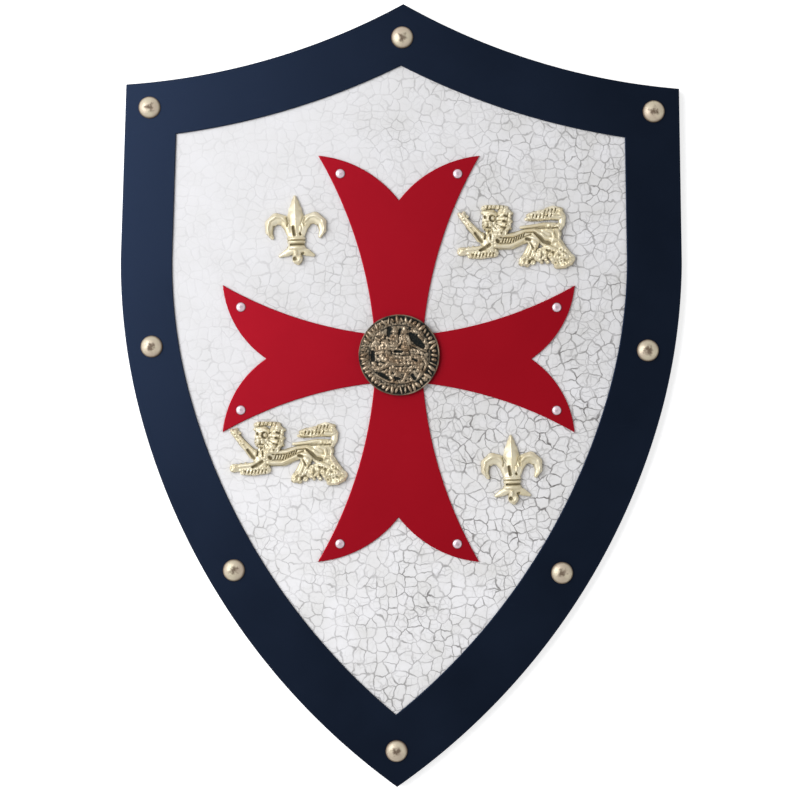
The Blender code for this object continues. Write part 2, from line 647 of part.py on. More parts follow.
def build_border(finish):
    outer = shield_loop(shield_outline())
    inner = shield_loop(border_inner(), FRONT_SHIFT)
    mesh = ring_plate(outer, inner, PLATE_Z, PLATE_Z + BORDER_THICKNESS, "border_plate")
    return add_piece("border_plate", mesh, finish)


def build_cross(finish):
    loop = [on_the_cross(x, y) for x, y in cross_loop()]
    mesh = stack_loops([(loop, PLATE_Z), (loop, PLATE_Z + CROSS_THICKNESS)], "cross_plate")
    return add_piece("cross_plate", mesh, finish)


def build_studs(finish):
    shank = STUD_Z - FRONT_Z + STUD_BITE
    profile = head_profile(STUD_DIAMETER, STUD_RIM, STUD_DOME, STUD_RINGS, STUD_SHANK_DIAMETER, shank)
    mesh = turned(profile, STUD_SIDES, "stud")
    shade_round(mesh)
    for name, (x, y) in stud_places().items():
        add_piece(name, mesh, finish, (x, y, STUD_Z))


def build_nails(finish):
    shank = NAIL_Z - FRONT_Z + NAIL_BITE
    profile = head_profile(NAIL_DIAMETER, NAIL_RIM, NAIL_DOME, NAIL_RINGS, NAIL_SHANK_DIAMETER, shank)
    mesh = turned(profile, NAIL_SIDES, "nail")
    shade_round(mesh)
    for name, (x, y) in nail_places().items():
        add_piece(name, mesh, finish, (x, y, NAIL_Z))


def drill_holes(board, border, cross):
    """Holes for the shanks: right through the steel plates, and a little past the shank in the board."""
    above = STUD_Z + STUD_RIM
    stud_cutter = hole_cutter("stud_holes", stud_places(), STUD_SHANK_DIAMETER, STUD_SIDES,
                              FRONT_Z - STUD_BITE - HOLE_CLEARANCE, above)
    nail_cutter = hole_cutter("nail_holes", nail_places(), NAIL_SHANK_DIAMETER, NAIL_SIDES,
                              FRONT_Z - NAIL_BITE - HOLE_CLEARANCE, above)
    drill(board, stud_cutter)
    drill(board, nail_cutter)
    drill(border, stud_cutter)
    drill(cross, nail_cutter)


def charge_place(name, width):
    """Where a lion or fleur-de-lis lies: beside the upright arm, with its own gap to the arm's edge."""
    charge = CHARGES[name]
    arm_edge = arm_half_width(UPRIGHT_ARM, abs(charge["rise"]))
    x = charge["side"] * (arm_edge + charge["gap"] + width / 2)
    return (CROSS_CENTRE[0] + x, CROSS_CENTRE[1] + charge["rise"], PLATE_Z)


def build_charges(finish):
    lion = lion_mesh()
    shade_round(lion)
    for name in ("lion_upper", "lion_lower"):
        fewer_facets(add_piece(name, lion, finish, charge_place(name, LION_LENGTH)), LION_FACETS)
    fleur = fleur_mesh()
    shade_round(fleur)
    fleur_width = FLEUR_GRID_WIDTH * FLEUR_HEIGHT / FLEUR_SPAN
    for name in ("fleur_de_lis_upper", "fleur_de_lis_lower"):
        piece = add_piece(name, fleur, finish, charge_place(name, fleur_width), FLEUR_LEAN)
        fewer_facets(piece, FLEUR_FACETS)


def build_medallion(finish):
    middle = (CROSS_CENTRE[0] + MEDALLION_OFFSET[0], CROSS_CENTRE[1] + MEDALLION_OFFSET[1], MEDALLION_Z)
    piece = add_piece("medallion", medallion_mesh(), finish, middle)
    fewer_facets(piece, MEDALLION_FACETS)


def build_shield():
    clear_scene()
    finishes = {name: make_finish(name) for name in FINISHES}
    board = build_board(finishes["crackle_white"])
    border = build_border(finishes["navy_paint"])
    cross = build_cross(finishes["red_paint"])
    build_studs(finishes["pale_brass"])
    build_nails(finishes["silver_nail"])
    drill_holes(board, border, cross)
    build_charges(finishes["pale_gold"])
    build_medallion(finishes["antique_bronze"])


build_shield()
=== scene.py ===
import math

import bmesh
import bpy
import numpy as np
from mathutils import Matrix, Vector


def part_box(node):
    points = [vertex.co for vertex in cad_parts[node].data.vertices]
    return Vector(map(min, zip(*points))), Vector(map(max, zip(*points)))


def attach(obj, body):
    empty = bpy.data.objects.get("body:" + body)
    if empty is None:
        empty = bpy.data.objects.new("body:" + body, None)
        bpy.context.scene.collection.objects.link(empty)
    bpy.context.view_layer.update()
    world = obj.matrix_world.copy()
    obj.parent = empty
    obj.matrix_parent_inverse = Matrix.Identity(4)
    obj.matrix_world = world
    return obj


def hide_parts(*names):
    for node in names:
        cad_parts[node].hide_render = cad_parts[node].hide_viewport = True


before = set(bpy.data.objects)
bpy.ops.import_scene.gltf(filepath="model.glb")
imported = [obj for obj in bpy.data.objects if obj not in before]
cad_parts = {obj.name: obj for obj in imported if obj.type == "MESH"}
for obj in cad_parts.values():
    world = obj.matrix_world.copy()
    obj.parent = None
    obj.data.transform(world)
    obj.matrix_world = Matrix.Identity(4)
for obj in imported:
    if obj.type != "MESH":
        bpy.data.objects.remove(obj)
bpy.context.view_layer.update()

print("frame loaded")

number = "NodeSocketFloat"
tint = "NodeSocketColor"
wholeNumber = "NodeSocketInt"


# node helpers: a value in an inputs dictionary is a number, a colour or another node's output
def addNode(tree, kind, inputs=None, **settings):
    node = tree.nodes.new(kind)
    for name, value in settings.items():
        setattr(node, name, value)
    for name, value in (inputs or {}).items():
        if isinstance(value, bpy.types.NodeSocket):
            tree.links.new(value, node.inputs[name])
        else:
            node.inputs[name].default_value = value
    return node


def calc(tree, operation, *values, clamp=False):
    inputs = {index: value for index, value in enumerate(values)}
    return addNode(tree, "ShaderNodeMath", inputs, operation=operation, use_clamp=clamp).outputs[0]


def rescale(tree, value, fromLow, fromHigh, toLow=0.0, toHigh=1.0, smooth=False):
    inputs = {"Value": value, "From Min": fromLow, "From Max": fromHigh, "To Min": toLow, "To Max": toHigh}
    way = "SMOOTHSTEP" if smooth else "LINEAR"
    return addNode(tree, "ShaderNodeMapRange", inputs, interpolation_type=way).outputs["Result"]


def blendColour(tree, share, first, second, way="MIX"):
    inputs = {0: share, 6: first, 7: second}
    return addNode(tree, "ShaderNodeMix", inputs, data_type="RGBA", blend_type=way).outputs[2]


def noiseAt(tree, place, scale, detail=3.0, roughness=0.55):
    inputs = {"Vector": place, "Scale": scale, "Detail": detail, "Roughness": roughness}
    return addNode(tree, "ShaderNodeTexNoise", inputs)


def newGroup(name, inputs, outputs, kind="ShaderNodeTree"):
    tree = bpy.data.node_groups.new(name, kind)
    for label, (socketType, value) in inputs.items():
        socket = tree.interface.new_socket(name=label, in_out="INPUT", socket_type=socketType)
        if value is not None:
            socket.default_value = value
    for label, socketType in outputs.items():
        tree.interface.new_socket(name=label, in_out="OUTPUT", socket_type=socketType)
    return tree, tree.nodes.new("NodeGroupInput").outputs, tree.nodes.new("NodeGroupOutput").inputs


def useGroup(tree, group, inputs):
    return addNode(tree, "ShaderNodeGroup", inputs, node_tree=group).outputs


# a brushed or sprayed coat of paint: slow mottling, fine orange peel and a few light scuffs
def makePaintFilm():
    tree, given, result = newGroup(
        "paintFilm",
        {"Colour": (tint, (0.5, 0.5, 0.5, 1)), "Scuffed": (tint, (0.6, 0.6, 0.6, 1)), "Mottle": (number, 0.1),
         "Scuffs": (number, 0.1), "Peel Scale": (number, 1100.0), "Roughness": (number, 0.4)},
        {"Colour": tint, "Roughness": number, "Height": number})
    place = addNode(tree, "ShaderNodeTexCoord").outputs["Object"]
    slow = noiseAt(tree, place, 14.0, 4.0).outputs["Fac"]
    peel = noiseAt(tree, place, 1.0, 2.0)
    tree.links.new(given["Peel Scale"], peel.inputs["Scale"])
    stretched = addNode(tree, "ShaderNodeMapping",
                        {"Vector": place, "Rotation": (0, 0, 0.6), "Scale": (30, 420, 30)})
    streak = noiseAt(tree, stretched.outputs[0], 1.0, 3.0, 0.7).outputs["Fac"]
    patch = noiseAt(tree, place, 38.0, 2.0).outputs["Fac"]
    scuff = calc(tree, "MULTIPLY", rescale(tree, streak, 0.62, 0.78), rescale(tree, patch, 0.5, 0.66))
    scuff = calc(tree, "MULTIPLY", scuff, given["Scuffs"])
    shade = calc(tree, "MULTIPLY", calc(tree, "SUBTRACT", slow, 0.5), given["Mottle"])
    toned = addNode(tree, "ShaderNodeHueSaturation",
                    {"Color": given["Colour"], "Value": calc(tree, "ADD", shade, 1.0)}).outputs[0]
    tree.links.new(blendColour(tree, scuff, toned, given["Scuffed"]), result["Colour"])
    rough = calc(tree, "ADD", given["Roughness"], calc(tree, "MULTIPLY", shade, 0.5))
    rough = calc(tree, "ADD", rough, calc(tree, "MULTIPLY", scuff, 0.2))
    tree.links.new(rough, result["Roughness"])
    height = calc(tree, "SUBTRACT", peel.outputs["Fac"], calc(tree, "MULTIPLY", scuff, 0.5))
    tree.links.new(height, result["Height"])
    return tree


# crackle glaze: a net of wavy cracks that come and go, and a fainter, finer net inside it
def makeCrackleGlaze():
    tree, given, result = newGroup(
        "crackleGlaze",
        {"Cells": (number, 120.0), "Fine Cells": (number, 230.0), "Crack Width": (number, 0.06),
         "Wander": (number, 0.02), "Wobble": (number, 0.003), "Jag": (number, 0.0006)},
        {"Crack": number, "Fine Crack": number, "Height": number})
    place = addNode(tree, "ShaderNodeTexCoord").outputs["Object"]

    def pushed(start, scale, amount, detail):
        drift = noiseAt(tree, place, scale, detail).outputs["Color"]
        drift = addNode(tree, "ShaderNodeVectorMath", {0: drift, 1: (0.5, 0.5, 0.5)}, operation="SUBTRACT")
        drift = addNode(tree, "ShaderNodeVectorMath", {0: drift.outputs[0]}, operation="SCALE")
        tree.links.new(amount, drift.inputs["Scale"])
        moved = addNode(tree, "ShaderNodeVectorMath", {0: start, 1: drift.outputs[0]}, operation="ADD")
        return moved.outputs[0]

    moved = pushed(place, 13.0, given["Wander"], 1.0)
    moved = pushed(moved, 130.0, given["Wobble"], 1.0)
    moved = pushed(moved, 480.0, given["Jag"], 2.0)

    def cracks(cells, widthScale, fadeScale, faint):
        net = addNode(tree, "ShaderNodeTexVoronoi", {"Vector": moved, "Scale": cells, "Randomness": 0.8},
                      voronoi_dimensions="2D", feature="DISTANCE_TO_EDGE")
        vary = rescale(tree, noiseAt(tree, place, 110.0, 2.0).outputs["Fac"], 0.3, 0.7, 0.5, 1.4)
        width = calc(tree, "MULTIPLY", calc(tree, "MULTIPLY", given["Crack Width"], vary), widthScale)
        near = calc(tree, "DIVIDE", net.outputs["Distance"], width)
        crack = rescale(tree, near, 0.15, 1.0, 1.0, 0.0, smooth=True)
        fade = rescale(tree, noiseAt(tree, place, fadeScale, 2.0).outputs["Fac"], 0.38, 0.62, faint, 1.0)
        return calc(tree, "MULTIPLY", crack, fade)

    crack = cracks(given["Cells"], 1.0, 85.0, 0.45)
    fine = cracks(given["Fine Cells"], 1.4, 60.0, 0.0)
    tree.links.new(crack, result["Crack"])
    tree.links.new(fine, result["Fine Crack"])
    height = calc(tree, "MULTIPLY", calc(tree, "MAXIMUM", crack, calc(tree, "MULTIPLY", fine, 0.4)), -1.0)
    tree.links.new(height, result["Height"])
    return tree


# cast and plated metal, dark in its hollows and bright on its ridges: on the castings the darkening is
# tarnish and painted shade, on the domed heads painted reflection and painted shade
def makeCastMetal():
    tree, given, result = newGroup(
        "castMetal",
        {"Bright": (tint, (0.9, 0.8, 0.6, 1)), "Worn": (tint, (0.7, 0.6, 0.4, 1)),
         "Deep": (tint, (0.02, 0.02, 0.01, 1)), "Shade Reflection Tarnish Strength": (number, 1.0), "Speckle Scale": (number, 500.0),
         "Roughness": (number, 0.3), "Metal": (number, 1.0)},
        {"Colour": tint, "Roughness": number, "Metallic": number, "Height": number})
    place = addNode(tree, "ShaderNodeTexCoord").outputs["Object"]
    speckle = noiseAt(tree, place, 1.0, 3.0)
    tree.links.new(given["Speckle Scale"], speckle.inputs["Scale"])
    slow = noiseAt(tree, place, 120.0, 2.0).outputs["Fac"]
    # the mask holds tarnish and painted shade on the castings, and painted reflection and painted shade on
    # the domed heads
    shadeReflectionTarnishMask = addNode(tree, "ShaderNodeAttribute", attribute_name="shadeReflectionTarnishMask").outputs["Fac"]
    uneven = calc(tree, "MULTIPLY", calc(tree, "SUBTRACT", speckle.outputs["Fac"], 0.5), 0.35)
    dark = calc(tree, "ADD", shadeReflectionTarnishMask, calc(tree, "MULTIPLY", uneven, shadeReflectionTarnishMask))
    dark = calc(tree, "MULTIPLY", dark, given["Shade Reflection Tarnish Strength"], clamp=True)
    worn = rescale(tree, slow, 0.35, 0.65)
    face = blendColour(tree, worn, given["Bright"], given["Worn"])
    tree.links.new(blendColour(tree, dark, face, given["Deep"]), result["Colour"])
    rough = calc(tree, "ADD", given["Roughness"], calc(tree, "MULTIPLY", dark, 0.35))
    rough = calc(tree, "ADD", rough, calc(tree, "MULTIPLY", uneven, 0.2))
    tree.links.new(rough, result["Roughness"])
    dull = calc(tree, "MULTIPLY", dark, 0.6)
    metal = calc(tree, "MULTIPLY", given["Metal"], calc(tree, "SUBTRACT", 1.0, dull))
    tree.links.new(metal, result["Metallic"])
    tree.links.new(speckle.outputs["Fac"], result["Height"])
    return tree


paintFilm = makePaintFilm()
crackleGlaze = makeCrackleGlaze()
castMetal = makeCastMetal()


def newMaterial(name, **fixed):
    material = bpy.data.materials.new(name)
    material.use_nodes = True
    tree = material.node_tree
    shader = tree.nodes["Principled BSDF"]
    for label, value in fixed.items():
        shader.inputs[label].default_value = value
    return material, tree, shader.inputs


def joinBump(tree, shader, height, strength, distance):
    bump = addNode(tree, "ShaderNodeBump", {"Height": height, "Strength": strength, "Distance": distance})
    tree.links.new(bump.outputs[0], shader["Normal"])


def makePaint(name, colour, scuffed, mottle, scuffs, roughness, peel, fixed):
    material, tree, shader = newMaterial(name, **fixed)
    film = useGroup(tree, paintFilm, {"Colour": (*colour, 1), "Scuffed": (*scuffed, 1), "Mottle": mottle,
                                      "Scuffs": scuffs, "Roughness": roughness})
    tree.links.new(film["Colour"], shader["Base Color"])
    tree.links.new(film["Roughness"], shader["Roughness"])
    joinBump(tree, shader, film["Height"], 0.25, peel)
    return material


def makeMetal(name, bright, worn, deep, shadeReflectionTarnishStrength, speckle, roughness, metal, pits, shine):
    material, tree, shader = newMaterial(name, **{"Specular IOR Level": shine})
    cast = useGroup(tree, castMetal, {"Bright": (*bright, 1), "Worn": (*worn, 1), "Deep": (*deep, 1),
                                      "Shade Reflection Tarnish Strength": shadeReflectionTarnishStrength, "Speckle Scale": speckle, "Roughness": roughness,
                                      "Metal": metal})
    tree.links.new(cast["Colour"], shader["Base Color"])
    tree.links.new(cast["Roughness"], shader["Roughness"])
    tree.links.new(cast["Metallic"], shader["Metallic"])
    joinBump(tree, shader, cast["Height"], 0.5, pits)
    return material


whiteGlaze = {
    "flake": (0.785, 0.777, 0.790),
    "flakeDark": (0.685, 0.675, 0.665),
    "lowerPaintedLight": 1.15,  # painted light: how much whiter the lower part is, as if lit from below
    "crack": (0.115, 0.105, 0.10),
    "crackPaintedWashout": (0.12, 1.0),  # upper left, lower right; painted light: the cracks wash out towards the upper left, where the light falls
    "washoutLean": 0.45,  # how much y counts beside x on the way from the one to the other
    "washoutReach": (-0.20, 0.13),  # where that way starts and ends
    "lowerPaintedLightReach": (0.06, -0.16),  # heights between which the painted light makes the lower part whiter
    "cells": 116.0,  # cells in a metre
    "fineCells": 200.0,
    "fineShare": 0.36,  # of a fine crack's depth of colour beside a wide one's
    "crackWidth": 0.100,
    "wander": 0.018,
    "wobble": 0.0058,
    "jag": 0.0013,
    "roughness": 0.44,
}


def makeWhiteGlaze():
    material, tree, shader = newMaterial("whiteGlaze", **{"Specular IOR Level": 0.35})
    glaze = useGroup(tree, crackleGlaze, {
        "Cells": whiteGlaze["cells"], "Fine Cells": whiteGlaze["fineCells"],
        "Crack Width": whiteGlaze["crackWidth"], "Wander": whiteGlaze["wander"],
        "Wobble": whiteGlaze["wobble"], "Jag": whiteGlaze["jag"]})
    place = addNode(tree, "ShaderNodeTexCoord").outputs["Object"]
    x, y = addNode(tree, "ShaderNodeSeparateXYZ", {"Vector": place}).outputs[:2]
    # painted light: the cracks fade out towards the upper left, as washed out by the light there; the noise
    # patches below are the glaze's own unevenness
    along = calc(tree, "SUBTRACT", x, calc(tree, "MULTIPLY", y, whiteGlaze["washoutLean"]))
    strength = rescale(tree, along, *whiteGlaze["washoutReach"], *whiteGlaze["crackPaintedWashout"])
    patch = rescale(tree, noiseAt(tree, place, 24.0, 3.0).outputs["Fac"], 0.35, 0.65, 0.5, 1.0)
    strength = calc(tree, "MULTIPLY", strength, patch)
    # the flake's darker mottle also fades with the painted washout towards the upper left
    mottle = rescale(tree, noiseAt(tree, place, 46.0, 3.0).outputs["Fac"], 0.3, 0.7)
    mottle = calc(tree, "MULTIPLY", mottle, rescale(tree, strength, 0.0, 0.6, 0.2, 1.0))
    flake = blendColour(tree, mottle, (*whiteGlaze["flake"], 1), (*whiteGlaze["flakeDark"], 1))
    # painted light: the glaze grows whiter towards the bottom, standing in for light from below
    lower = rescale(tree, y, *whiteGlaze["lowerPaintedLightReach"], 1.0, whiteGlaze["lowerPaintedLight"], smooth=True)
    flake = addNode(tree, "ShaderNodeHueSaturation", {"Color": flake, "Value": lower}).outputs[0]
    fine = calc(tree, "MULTIPLY", glaze["Fine Crack"], whiteGlaze["fineShare"])
    crack = calc(tree, "MULTIPLY", calc(tree, "MAXIMUM", glaze["Crack"], fine), strength)
    base = blendColour(tree, crack, flake, (*whiteGlaze["crack"], 1))
    tree.links.new(base, shader["Base Color"])
    grain = noiseAt(tree, place, 700.0, 2.0).outputs["Fac"]
    rough = calc(tree, "ADD", calc(tree, "MULTIPLY", grain, 0.12), whiteGlaze["roughness"])
    tree.links.new(calc(tree, "ADD", rough, calc(tree, "MULTIPLY", crack, 0.3)), shader["Roughness"])
    height = calc(tree, "ADD", glaze["Height"], calc(tree, "MULTIPLY", grain, 0.15))
    joinBump(tree, shader, height, 0.3, 0.0002)
    return material


paints = {
    "navyPaint": {"colour": (0.0026, 0.0043, 0.0080), "scuffed": (0.03, 0.04, 0.06), "mottle": 0.30,
                  "scuffs": 0.10, "roughness": 0.37, "peel": 0.00004,
                  "fixed": {"Specular IOR Level": 0.52, "Specular Tint": (0.32, 0.50, 1.0, 1)}},
    "redPaint": {"colour": (0.405, 0.0024, 0.0070), "scuffed": (0.5, 0.05, 0.06), "mottle": 0.12,
                 "scuffs": 0.08, "roughness": 0.40, "peel": 0.00004,
                 "fixed": {"Metallic": 0.5, "Specular IOR Level": 0.5, "Specular Tint": (1.0, 0.40, 0.8, 1)}},
    "darkBackPaint": {"colour": (0.012, 0.014, 0.020), "scuffed": (0.09, 0.075, 0.06), "mottle": 0.5,
                      "scuffs": 0.5, "roughness": 0.55, "peel": 0.00012, "fixed": {}},
}
metals = {
    "paleGold": {"bright": (0.92, 0.845, 0.645), "worn": (0.81, 0.715, 0.49), "deep": (0.23, 0.19, 0.105),
                 "shadeReflectionTarnishStrength": 1.0, "speckle": 900.0, "roughness": 0.42, "metal": 0.45, "pits": 0.00005,
                 "shine": 0.5},
    "antiqueBronze": {"bright": (0.53, 0.43, 0.31), "worn": (0.25, 0.175, 0.11),
                      "deep": (0.007, 0.010, 0.010), "shadeReflectionTarnishStrength": 1.0, "speckle": 1100.0, "roughness": 0.38,
                      "metal": 0.8, "pits": 0.00008, "shine": 0.15},
    "paleBrass": {"bright": (0.70, 0.62, 0.46), "worn": (0.63, 0.52, 0.40), "deep": (0.11, 0.068, 0.040),
                  "shadeReflectionTarnishStrength": 1.0, "speckle": 700.0, "roughness": 0.42, "metal": 0.35, "pits": 0.00010,
                  "shine": 0.5},
    "brightNickel": {"bright": (0.88, 0.70, 0.77), "worn": (0.80, 0.62, 0.69), "deep": (0.24, 0.19, 0.205),
                     "shadeReflectionTarnishStrength": 1.0, "speckle": 700.0, "roughness": 0.36, "metal": 0.40, "pits": 0.00006,
                     "shine": 0.5},
}
finishes = {"whiteGlaze": makeWhiteGlaze()}
for name, values in paints.items():
    finishes[name] = makePaint(name, **values)
for name, values in metals.items():
    finishes[name] = makeMetal(name, **values)
print("materials made")


shieldShape = {
    "shoulderWidth": 0.985,  # of the width
    "shoulderDrop": 0.0643,
    "widestDrop": 0.200,
    "topRadius": 0.525,
    "sideRadius": 0.460,
    "sideSweep": math.radians(16.0),
    "borderWidth": 0.0415,
    "borderWidthAtTop": 0.0425,
    "borderSideEase": 0.028,  # how much tighter the inner edge's round side is
    "borderWidthAtPoint": 0.046,
    "plateRound": 0.0005,
    "plateRoundBelow": 0.00015,
    "boardRound": 0.0010,
    "steps": {"top": 70, "straight": 40, "side": 40, "point": 120},
}
boardLow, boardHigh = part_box("board")
topY = boardHigh.y
bottomY = boardLow.y
halfWidth = (boardHigh.x - boardLow.x) / 2


# points of an arc from start to end, without start; with side 1 it swells to the right of the way
def arcPoints(start, end, radius, side, steps):
    chord = math.hypot(end[0] - start[0], end[1] - start[1])
    half = math.asin(chord / (2 * radius))
    away = radius * math.cos(half) * side
    centreX = (start[0] + end[0]) / 2 - away * (end[1] - start[1]) / chord
    centreY = (start[1] + end[1]) / 2 + away * (end[0] - start[0]) / chord
    first = math.atan2(start[1] - centreY, start[0] - centreX)
    angles = [first + side * 2 * half * step / steps for step in range(1, steps + 1)]
    return [(centreX + radius * math.cos(angle), centreY + radius * math.sin(angle)) for angle in angles]


def shieldOutline():
    return {
        "top": (0.0, topY),
        "shoulder": (shieldShape["shoulderWidth"] * halfWidth, topY - shieldShape["shoulderDrop"]),
        "widest": (halfWidth, topY - shieldShape["widestDrop"]),
        "bottom": (0.0, bottomY),
        "topRadius": shieldShape["topRadius"],
        "sideRadius": shieldShape["sideRadius"],
    }


# end of the first round stretch, and the radius that goes on smoothly to the bottom point
def lowerArc(outline):
    sweep = shieldShape["sideSweep"]
    x, y = outline["widest"]
    turnEnd = (x - outline["sideRadius"] * (1 - math.cos(sweep)), y - outline["sideRadius"] * math.sin(sweep))
    runX = -turnEnd[0]
    runY = outline["bottom"][1] - turnEnd[1]
    across = abs(-runX * math.cos(sweep) + runY * math.sin(sweep))
    return turnEnd, (runX ** 2 + runY ** 2) / (2 * across)


# the border's inner edge: the outline moved in by the border's width, which grows towards the bottom point
def borderInside(outline):
    width = shieldShape["borderWidth"]
    topWidth = shieldShape["borderWidthAtTop"]
    top, shoulder, widest = outline["top"], outline["shoulder"], outline["widest"]
    chord = math.hypot(shoulder[0] - top[0], shoulder[1] - top[1])
    away = math.sqrt(outline["topRadius"] ** 2 - chord ** 2 / 4)
    centreX = (top[0] + shoulder[0]) / 2 + away * (top[1] - shoulder[1]) / chord
    centreY = (top[1] + shoulder[1]) / 2 + away * (shoulder[0] - top[0]) / chord
    radius = outline["topRadius"] + topWidth
    side = math.hypot(widest[0] - shoulder[0], widest[1] - shoulder[1])
    alongX = (widest[0] - shoulder[0]) / side
    alongY = (widest[1] - shoulder[1]) / side
    startX = shoulder[0] + alongY * width - centreX
    startY = shoulder[1] - alongX * width - centreY
    middle = -(startX * alongX + startY * alongY)
    step = middle + math.sqrt(radius ** 2 - (startX ** 2 + startY ** 2 - middle ** 2))
    turnEnd, pointRadius = lowerArc(outline)
    chord = math.hypot(turnEnd[0], outline["bottom"][1] - turnEnd[1])
    slope = shieldShape["sideSweep"] + 2 * math.asin(chord / (2 * pointRadius))
    return {
        "top": (0.0, centreY - math.sqrt(radius ** 2 - centreX ** 2)),
        "shoulder": (centreX + startX + alongX * step, centreY + startY + alongY * step),
        "widest": (widest[0] - width, widest[1]),
        "bottom": (0.0, outline["bottom"][1] + shieldShape["borderWidthAtPoint"] / math.sin(slope)),
        "topRadius": radius,
        "sideRadius": outline["sideRadius"] - width - shieldShape["borderSideEase"],
    }


# clockwise from the top point
def outlineLoop(outline):
    steps = shieldShape["steps"]
    shoulder, widest = outline["shoulder"], outline["widest"]
    turnEnd, pointRadius = lowerArc(outline)
    right = [outline["top"]]
    right += arcPoints(outline["top"], shoulder, outline["topRadius"], 1, steps["top"])
    for step in range(1, steps["straight"] + 1):
        share = step / steps["straight"]
        right.append(tuple(start + (end - start) * share for start, end in zip(shoulder, widest)))
    right += arcPoints(widest, turnEnd, outline["sideRadius"], -1, steps["side"])
    right += arcPoints(turnEnd, outline["bottom"], pointRadius, -1, steps["point"])
    return right + [(-x, y) for x, y in right[-2:0:-1]]


# a clockwise loop moved to its right, which is inwards, with mitred corners
def movedIn(loop, distance):
    points = np.array(loop)
    along = np.roll(points, -1, axis=0) - points
    along /= np.linalg.norm(along, axis=1)[:, None]
    after = np.stack([along[:, 1], -along[:, 0]], axis=1)
    before = np.roll(after, 1, axis=0)
    share = 1 + np.sum(after * before, axis=1)
    moved = points + distance * (after + before) / np.maximum(share, 0.3)[:, None]
    return [tuple(point) for point in moved]


# levels of a plate's side from its underside up, with rounded upper and lower edges
def roundedSide(loop, low, high, edge, lowEdge, steps=4):
    levels = []
    for step in range(steps + 1):
        angle = math.pi / 2 * step / steps
        height = low + abs(lowEdge) * (1 - math.cos(angle))
        levels.append((movedIn(loop, lowEdge * (1 - math.sin(angle))), height))
    for step in range(steps + 1):
        angle = math.pi / 2 * step / steps
        height = high - abs(edge) * (1 - math.sin(angle))
        levels.append((movedIn(loop, edge * (1 - math.cos(angle))), height))
    return levels


# joins loops of equally many points; a ring's last level joins its first, a solid plate gets flat ends
def plateMesh(name, levels, ring):
    shape = bmesh.new()
    rows = [[shape.verts.new((x, y, z)) for x, y in loop] for loop, z in levels]
    pairs = list(zip(rows, rows[1:]))
    if ring:
        pairs.append((rows[-1], rows[0]))
    count = len(rows[0])
    for low, high in pairs:
        for index in range(count):
            after = (index + 1) % count
            shape.faces.new((low[index], low[after], high[after], high[index]))
    if not ring:
        shape.faces.new(rows[0])
        shape.faces.new(rows[-1])
    return closedMesh(name, shape, 40)


def closedMesh(name, shape, sharpAngle):
    bmesh.ops.recalc_face_normals(shape, faces=shape.faces)
    if shape.calc_volume(signed=True) < 0:
        bmesh.ops.reverse_faces(shape, faces=shape.faces)
    mesh = bpy.data.meshes.new(name)
    shape.to_mesh(mesh)
    shape.free()
    mesh.set_sharp_from_angle(angle=math.radians(sharpAngle))
    for face in mesh.polygons:
        face.use_smooth = abs(face.normal.z) < 0.9999
    return mesh


# without a finish the mesh keeps the materials that it has
def addPiece(name, mesh, nodes, finish=None):
    piece = bpy.data.objects.new(name, mesh)
    bpy.context.scene.collection.objects.link(piece)
    if finish:
        mesh.materials.append(finishes[finish])
    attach(piece, "root")
    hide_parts(*nodes)


# board: white glaze on the front, dark paint round the edge and on the back
crossLow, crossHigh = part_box("cross_plate")
crossX = (crossLow.x + crossHigh.x) / 2  # the border's opening lies as far off the middle as the cross
outer = outlineLoop(shieldOutline())
inner = [(x + crossX, y) for x, y in outlineLoop(borderInside(shieldOutline()))]
boardEdge = shieldShape["boardRound"]
boardSide = roundedSide(outer, boardLow.z, boardHigh.z, boardEdge, boardEdge)
boardMesh = plateMesh("boardPanel", boardSide, False)
boardMesh.materials.append(finishes["darkBackPaint"])
boardMesh.materials.append(finishes["whiteGlaze"])
for face in boardMesh.polygons:
    face.material_index = 1 if face.normal.z > 0.999 else 0
addPiece("boardPanel", boardMesh, ["board"])

borderLow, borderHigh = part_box("border_plate")
edge = shieldShape["plateRound"]
lowEdge = shieldShape["plateRoundBelow"]
outerSide = roundedSide(outer, borderLow.z, borderHigh.z, edge, lowEdge)
innerSide = roundedSide(inner, borderLow.z, borderHigh.z, -edge, -lowEdge)
borderMesh = plateMesh("borderPlate", outerSide + innerSide[::-1], True)
addPiece("borderPlate", borderMesh, ["border_plate"], "navyPaint")
print("board and border made")

crossShape = {
    "root": 0.019,
    "bulge": 0.0075,
    "turn": math.radians(0.4),
    "upright": {"reach": 0.1582, "halfWidth": 0.0629, "notch": 0.1235, "flareRadius": 0.330},
    "arm": {"reach": 0.1371, "halfWidth": 0.0573, "notch": 0.1033, "flareRadius": 0.305},
    "flareSteps": 50,
    "tipSteps": 26,
}


def crossLoop(centreX, centreY):
    root = crossShape["root"]
    points = []
    for quarter in range(4):
        arm = crossShape["upright" if quarter % 2 == 0 else "arm"]
        reach = arm["reach"]
        leftTip = (-arm["halfWidth"], reach)
        rightTip = (arm["halfWidth"], reach)
        notch = (0.0, arm["notch"])
        halfChord = math.hypot(arm["halfWidth"], reach - arm["notch"]) / 2
        tipRadius = (halfChord ** 2 + crossShape["bulge"] ** 2) / (2 * crossShape["bulge"])
        outline = [(-root, root)]
        outline += arcPoints((-root, root), leftTip, arm["flareRadius"], 1, crossShape["flareSteps"])
        outline += arcPoints(leftTip, notch, tipRadius, -1, crossShape["tipSteps"])
        outline += arcPoints(notch, rightTip, tipRadius, -1, crossShape["tipSteps"])
        outline += arcPoints(rightTip, (root, root), arm["flareRadius"], 1, crossShape["flareSteps"])[:-1]
        turn = crossShape["turn"] - math.pi / 2 * quarter
        for x, y in outline:
            points.append((centreX + x * math.cos(turn) - y * math.sin(turn),
                           centreY + x * math.sin(turn) + y * math.cos(turn)))
    return points


